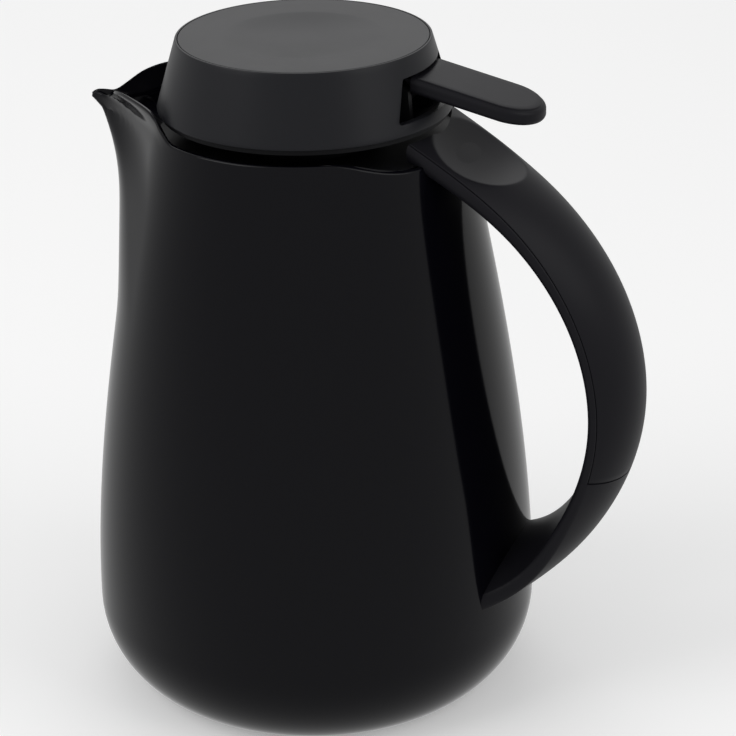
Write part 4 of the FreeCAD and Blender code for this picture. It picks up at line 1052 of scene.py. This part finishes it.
def matt_moulding(looks):
    """The mouldings inside."""
    return make_finish("matt moulding", looks.inner_colour, 0.5, 0.08, 0.1, ior=1.25)


def soft_rubber(looks):
    """The seals and the cushion."""
    return make_finish("soft rubber", looks.rubber_colour, 0.6, 0.1, 0.1)


def plain_steel():
    """The screws, the pin and the spring."""
    return make_finish("plain steel", (0.6, 0.6, 0.6), 0.3, 0.1, 0.03, metallic=1.0)


def silvered_glass():
    """The liner's two walls."""
    return make_finish("silvered glass", (0.82, 0.84, 0.86), 0.06, 0.02, 0.0, metallic=1.0)


def fibre_pad():
    """The spacers between the walls."""
    return make_finish("fibre pad", (0.7, 0.69, 0.65), 0.9, 0.1, 0.3)


def dress(names, material):
    """Gives CAD nodes their finish."""
    for name in names:
        coat(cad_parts[name], material)


# ---------------------------------------------------------------- stage

# Each lamp: its name, its place and width in metres, and the value that holds its power.
LAMPS = (
    ("key lamp", (-0.75, -0.75, 1.05), 0.9, "key_power"),
    ("side lamp", (1.0, -0.15, 0.8), 0.8, "side_power"),
    ("back lamp", (-0.5, 1.15, 1.2), 1.1, "back_power"),
)
LAMP_TARGET = Vector((0, 0, 0.1))
# The camera's place in metres, its turns in degrees, and its focal length and frame in pixels.
CAMERA_PLACE, CAMERA_HEADING, CAMERA_PITCH, CAMERA_ROLL = (0.30186, -0.76242, 0.467), 20.305, -23.781, -0.932
FOCAL_PIXELS, FRAME_PIXELS, SENSOR_WIDTH, CAMERA_FAR = 2706.5, 736, 36.0, 30


def add_floor(scene, stage):
    """The table top."""
    size = stage.floor_size
    corners = [(-size, -size, 0), (size, -size, 0), (size, size, 0), (-size, size, 0)]
    mesh = bpy.data.meshes.new("table_top")
    mesh.from_pydata(corners, [], [(0, 1, 2, 3)])
    mesh.materials.append(white_floor(stage))
    floor = bpy.data.objects.new("table_top", mesh)
    scene.collection.objects.link(floor)


def add_lamps(scene, stage):
    """The lamps, each turned to the jug's middle."""
    for name, spot, width, power in LAMPS:
        light = bpy.data.lights.new(name, "AREA")
        light.shape = "SQUARE"
        light.size = width
        light.energy = getattr(stage, power)
        lamp = bpy.data.objects.new(name, light)
        scene.collection.objects.link(lamp)
        lamp.location = spot
        lamp.rotation_euler = (LAMP_TARGET - Vector(spot)).to_track_quat("-Z", "Y").to_euler()


def seen_in_gloss(tree, rays):
    """1 on rays that reflect from a piece or pass through it."""
    seen = node(tree, "ShaderNodeMath", operation="MAXIMUM")
    wire(tree, (rays, "Is Glossy Ray", seen, 0), (rays, "Is Transmission Ray", seen, 1))
    return seen


def white_floor(stage):
    """A pale table that keeps shadows, glows a little to the camera and is seen pale in gloss."""
    material = bpy.data.materials.new("white table")
    material.use_nodes = True
    tree = material.node_tree
    tree.nodes.clear()
    rays = node(tree, "ShaderNodeLightPath")
    matt = node(tree, "ShaderNodeBsdfDiffuse")
    matt.inputs["Color"].default_value = (stage.floor_shade, stage.floor_shade, stage.floor_shade, 1)
    glow = node(tree, "ShaderNodeEmission")
    lift = node(tree, "ShaderNodeMath", operation="MULTIPLY")
    lift.inputs[1].default_value = stage.floor_lift
    both = node(tree, "ShaderNodeAddShader")
    mirror = node(tree, "ShaderNodeEmission")
    mirror.inputs["Strength"].default_value = stage.room_gloss
    pick = node(tree, "ShaderNodeMixShader")
    end = node(tree, "ShaderNodeOutputMaterial")
    wire(
        tree,
        (rays, "Is Camera Ray", lift, 0),
        (lift, 0, glow, "Strength"),
        (matt, 0, both, 0),
        (glow, 0, both, 1),
        (seen_in_gloss(tree, rays), 0, pick, "Fac"),
        (both, 0, pick, 1),
        (mirror, 0, pick, 2),
        (pick, 0, end, "Surface"),
    )
    return material


def white_room(scene, stage):
    """Surroundings that look white, give even light and are seen pale in gloss."""
    world = bpy.data.worlds.new("white room")
    scene.world = world
    world.use_nodes = True
    tree = world.node_tree
    tree.nodes.clear()
    rays = node(tree, "ShaderNodeLightPath")
    in_gloss = node(tree, "ShaderNodeMapRange")
    in_gloss.inputs["To Min"].default_value = stage.room_light
    in_gloss.inputs["To Max"].default_value = stage.room_gloss
    strength = node(tree, "ShaderNodeMapRange")
    strength.inputs["To Max"].default_value = 1.0
    glow = node(tree, "ShaderNodeBackground")
    glow.inputs["Color"].default_value = (1, 1, 1, 1)
    end = node(tree, "ShaderNodeOutputWorld")
    wire(
        tree,
        (seen_in_gloss(tree, rays), 0, in_gloss, "Value"),
        (rays, "Is Camera Ray", strength, "Value"),
        (in_gloss, 0, strength, "To Min"),
        (strength, 0, glow, "Strength"),
        (glow, 0, end, "Surface"),
    )


def add_camera(scene):
    """The camera, set by where it stands and where it points."""
    data = bpy.data.cameras.new("camera")
    data.sensor_width = SENSOR_WIDTH
    data.lens = FOCAL_PIXELS / FRAME_PIXELS * SENSOR_WIDTH
    data.clip_end = CAMERA_FAR
    camera = bpy.data.objects.new("camera", data)
    scene.collection.objects.link(camera)
    camera.location = CAMERA_PLACE
    heading, pitch, roll = (math.radians(turn) for turn in (CAMERA_HEADING, CAMERA_PITCH, CAMERA_ROLL))
    level = math.cos(pitch)
    ahead = Vector((-math.sin(heading) * level, math.cos(heading) * level, math.sin(pitch)))
    upright = ahead.to_track_quat("-Z", "Y").to_matrix()
    camera.rotation_euler = (upright @ Matrix.Rotation(roll, 3, "Z")).to_euler()
    scene.camera = camera


# ---------------------------------------------------------------- add-on

class CarafeSizes(bpy.types.PropertyGroup):
    rim_round: bpy.props.FloatProperty(
        name="Rim round",
        description="Radius of the jug's rim edge",
        default=0.7 * MM, unit="LENGTH")
    seam_gap: bpy.props.FloatProperty(
        name="Seam gap",
        description="Gap between the handle's cover and strap",
        default=0.15 * MM, unit="LENGTH")
    handle_edge_round: bpy.props.FloatProperty(
        name="Handle edge round",
        description="Radius of the handle's edges",
        default=0.45 * MM, unit="LENGTH")
    lid_edge_round: bpy.props.FloatProperty(
        name="Lid edge round",
        description="Radius of the drum's outer edges",
        default=0.6 * MM, unit="LENGTH")
    jacket_columns: bpy.props.IntProperty(
        name="Jacket columns",
        description="Columns over half of the jacket",
        default=110)
    jacket_rows: bpy.props.IntProperty(
        name="Jacket rows",
        description="Rows between the belly and the rim",
        default=90)
    lid_segments: bpy.props.IntProperty(
        name="Lid segments",
        description="Divisions round the lid",
        default=160)


class CarafeLooks(bpy.types.PropertyGroup):
    jacket_colour: bpy.props.FloatVectorProperty(
        name="Jacket colour",
        description="Colour of the gloss jacket",
        default=(0.0018, 0.0017, 0.0032), subtype="COLOR")
    jacket_roughness: bpy.props.FloatProperty(
        name="Jacket roughness",
        description="Roughness of the gloss jacket",
        default=0.1)
    handle_colour: bpy.props.FloatVectorProperty(
        name="Handle colour",
        description="Colour of the handle and the lever",
        default=(0.009, 0.0087, 0.0112), subtype="COLOR")
    handle_roughness: bpy.props.FloatProperty(
        name="Handle roughness",
        description="Roughness of the handle and the lever",
        default=0.4)
    lid_colour: bpy.props.FloatVectorProperty(
        name="Lid colour",
        description="Colour of the lid's drum and disc",
        default=(0.0095, 0.0098, 0.0122), subtype="COLOR")
    lid_roughness: bpy.props.FloatProperty(
        name="Lid roughness",
        description="Roughness of the lid's drum and disc",
        default=0.36)
    inner_colour: bpy.props.FloatVectorProperty(
        name="Inner colour",
        description="Colour of the inner mouldings",
        default=(0.004, 0.004, 0.005), subtype="COLOR")
    rubber_colour: bpy.props.FloatVectorProperty(
        name="Rubber colour",
        description="Colour of the seals",
        default=(0.3, 0.3, 0.3), subtype="COLOR")


class CarafeStage(bpy.types.PropertyGroup):
    floor_size: bpy.props.FloatProperty(
        name="Table size",
        description="Half the width of the table top",
        default=6.0, unit="LENGTH")
    floor_shade: bpy.props.FloatProperty(
        name="Table shade",
        description="How pale the table top is",
        default=0.8)
    floor_lift: bpy.props.FloatProperty(
        name="Table lift",
        description="Glow that lifts the table towards white for the camera",
        default=0.28)
    room_light: bpy.props.FloatProperty(
        name="Room light",
        description="Even light from all round",
        default=0.5)
    room_gloss: bpy.props.FloatProperty(
        name="Room in gloss",
        description="How pale the room and table look in reflections",
        default=0.58)
    key_power: bpy.props.FloatProperty(
        name="Key power",
        description="Power of the lamp at the left",
        default=6.0, unit="POWER")
    side_power: bpy.props.FloatProperty(
        name="Side power",
        description="Power of the lamp at the right",
        default=3.0, unit="POWER")
    back_power: bpy.props.FloatProperty(
        name="Back power",
        description="Power of the lamp behind",
        default=3.5, unit="POWER")


class CARAFE_OT_jacket(bpy.types.Operator):
    """Build the gloss jacket with its spout and rim"""
    bl_idname = "carafe.jacket"
    bl_label = "Jacket"

    def execute(self, context):
        build_jacket(context.scene.carafe_sizes, gloss_black(context.scene.carafe_looks))
        return {"FINISHED"}


class CARAFE_OT_handle(bpy.types.Operator):
    """Build the handle's strap and its cover with the thumb dish"""
    bl_idname = "carafe.handle"
    bl_label = "Handle"

    def execute(self, context):
        build_handle(context.scene.carafe_sizes, satin_black(context.scene.carafe_looks))
        return {"FINISHED"}


class CARAFE_OT_lid(bpy.types.Operator):
    """Build the lid's drum and top disc"""
    bl_idname = "carafe.lid"
    bl_label = "Lid"

    def execute(self, context):
        satin = satin_charcoal(context.scene.carafe_looks)
        build_drum(context.scene.carafe_sizes, satin)
        build_disc(context.scene.carafe_sizes, satin)
        return {"FINISHED"}


class CARAFE_OT_lever(bpy.types.Operator):
    """Build the lever's thumb plate and finish the lever"""
    bl_idname = "carafe.lever"
    bl_label = "Lever"

    def execute(self, context):
        satin = satin_black(context.scene.carafe_looks)
        dress(("thumb_lever",), satin)
        build_lever_plate(satin)
        return {"FINISHED"}


class CARAFE_OT_screws(bpy.types.Operator):
    """Build the screws under the lid"""
    bl_idname = "carafe.screws"
    bl_label = "Screws"

    def execute(self, context):
        build_lid_screws(plain_steel())
        return {"FINISHED"}


class CARAFE_OT_inside(bpy.types.Operator):
    """Give the pieces inside the jug and the lid their finishes"""
    bl_idname = "carafe.inside"
    bl_label = "Inside"

    def execute(self, context):
        moulding = matt_moulding(context.scene.carafe_looks)
        rubber = soft_rubber(context.scene.carafe_looks)
        dress(("neck_collar", "base_cap", "stopper_cup", "lid_base"), moulding)
        dress(("valve_stem", "stem_clip"), moulding)
        dress(("neck_gasket", "liner_cushion", "stopper_gasket", "valve_seal"), rubber)
        dress(("glass_inner", "glass_outer"), silvered_glass())
        dress(("glass_spacers",), fibre_pad())
        dress(("handle_screws", "lever_pin"), plain_steel())
        build_spring(plain_steel())
        return {"FINISHED"}


class CARAFE_OT_stage(bpy.types.Operator):
    """Set the table, the room, the lamps and the camera"""
    bl_idname = "carafe.stage"
    bl_label = "Stage"

    def execute(self, context):
        scene = context.scene
        scene.view_settings.view_transform = "Standard"
        add_floor(scene, scene.carafe_stage)
        white_room(scene, scene.carafe_stage)
        add_lamps(scene, scene.carafe_stage)
        add_camera(scene)
        return {"FINISHED"}


class CARAFE_PT_panel(bpy.types.Panel):
    """The carafe's sizes, looks and pieces"""
    bl_idname = "CARAFE_PT_panel"
    bl_label = "Carafe"
    bl_space_type = "VIEW_3D"
    bl_region_type = "UI"
    bl_category = "Carafe"

    def draw(self, context):
        layout = self.layout
        scene = context.scene
        for group in (scene.carafe_sizes, scene.carafe_looks, scene.carafe_stage):
            column = layout.column()
            for name in group.__annotations__:
                column.prop(group, name)
        for operator in OPERATORS:
            layout.operator(operator.bl_idname)


GROUPS = {"carafe_sizes": CarafeSizes, "carafe_looks": CarafeLooks, "carafe_stage": CarafeStage}
OPERATORS = (
    CARAFE_OT_jacket, CARAFE_OT_handle, CARAFE_OT_lid, CARAFE_OT_lever, CARAFE_OT_screws, CARAFE_OT_inside,
    CARAFE_OT_stage,
)


def register():
    for group in GROUPS.values():
        bpy.utils.register_class(group)
    for name, group in GROUPS.items():
        setattr(bpy.types.Scene, name, bpy.props.PointerProperty(type=group))
    for operator in OPERATORS:
        bpy.utils.register_class(operator)
    bpy.utils.register_class(CARAFE_PT_panel)


def unregister():
    bpy.utils.unregister_class(CARAFE_PT_panel)
    for operator in reversed(OPERATORS):
        bpy.utils.unregister_class(operator)
    for name, group in GROUPS.items():
        delattr(bpy.types.Scene, name)
        bpy.utils.unregister_class(group)


def main():
    register()
    bpy.ops.carafe.jacket()
    bpy.ops.carafe.handle()
    bpy.ops.carafe.lid()
    bpy.ops.carafe.lever()
    bpy.ops.carafe.screws()
    bpy.ops.carafe.inside()
    bpy.ops.carafe.stage()


if __name__ == "__main__":
    main()
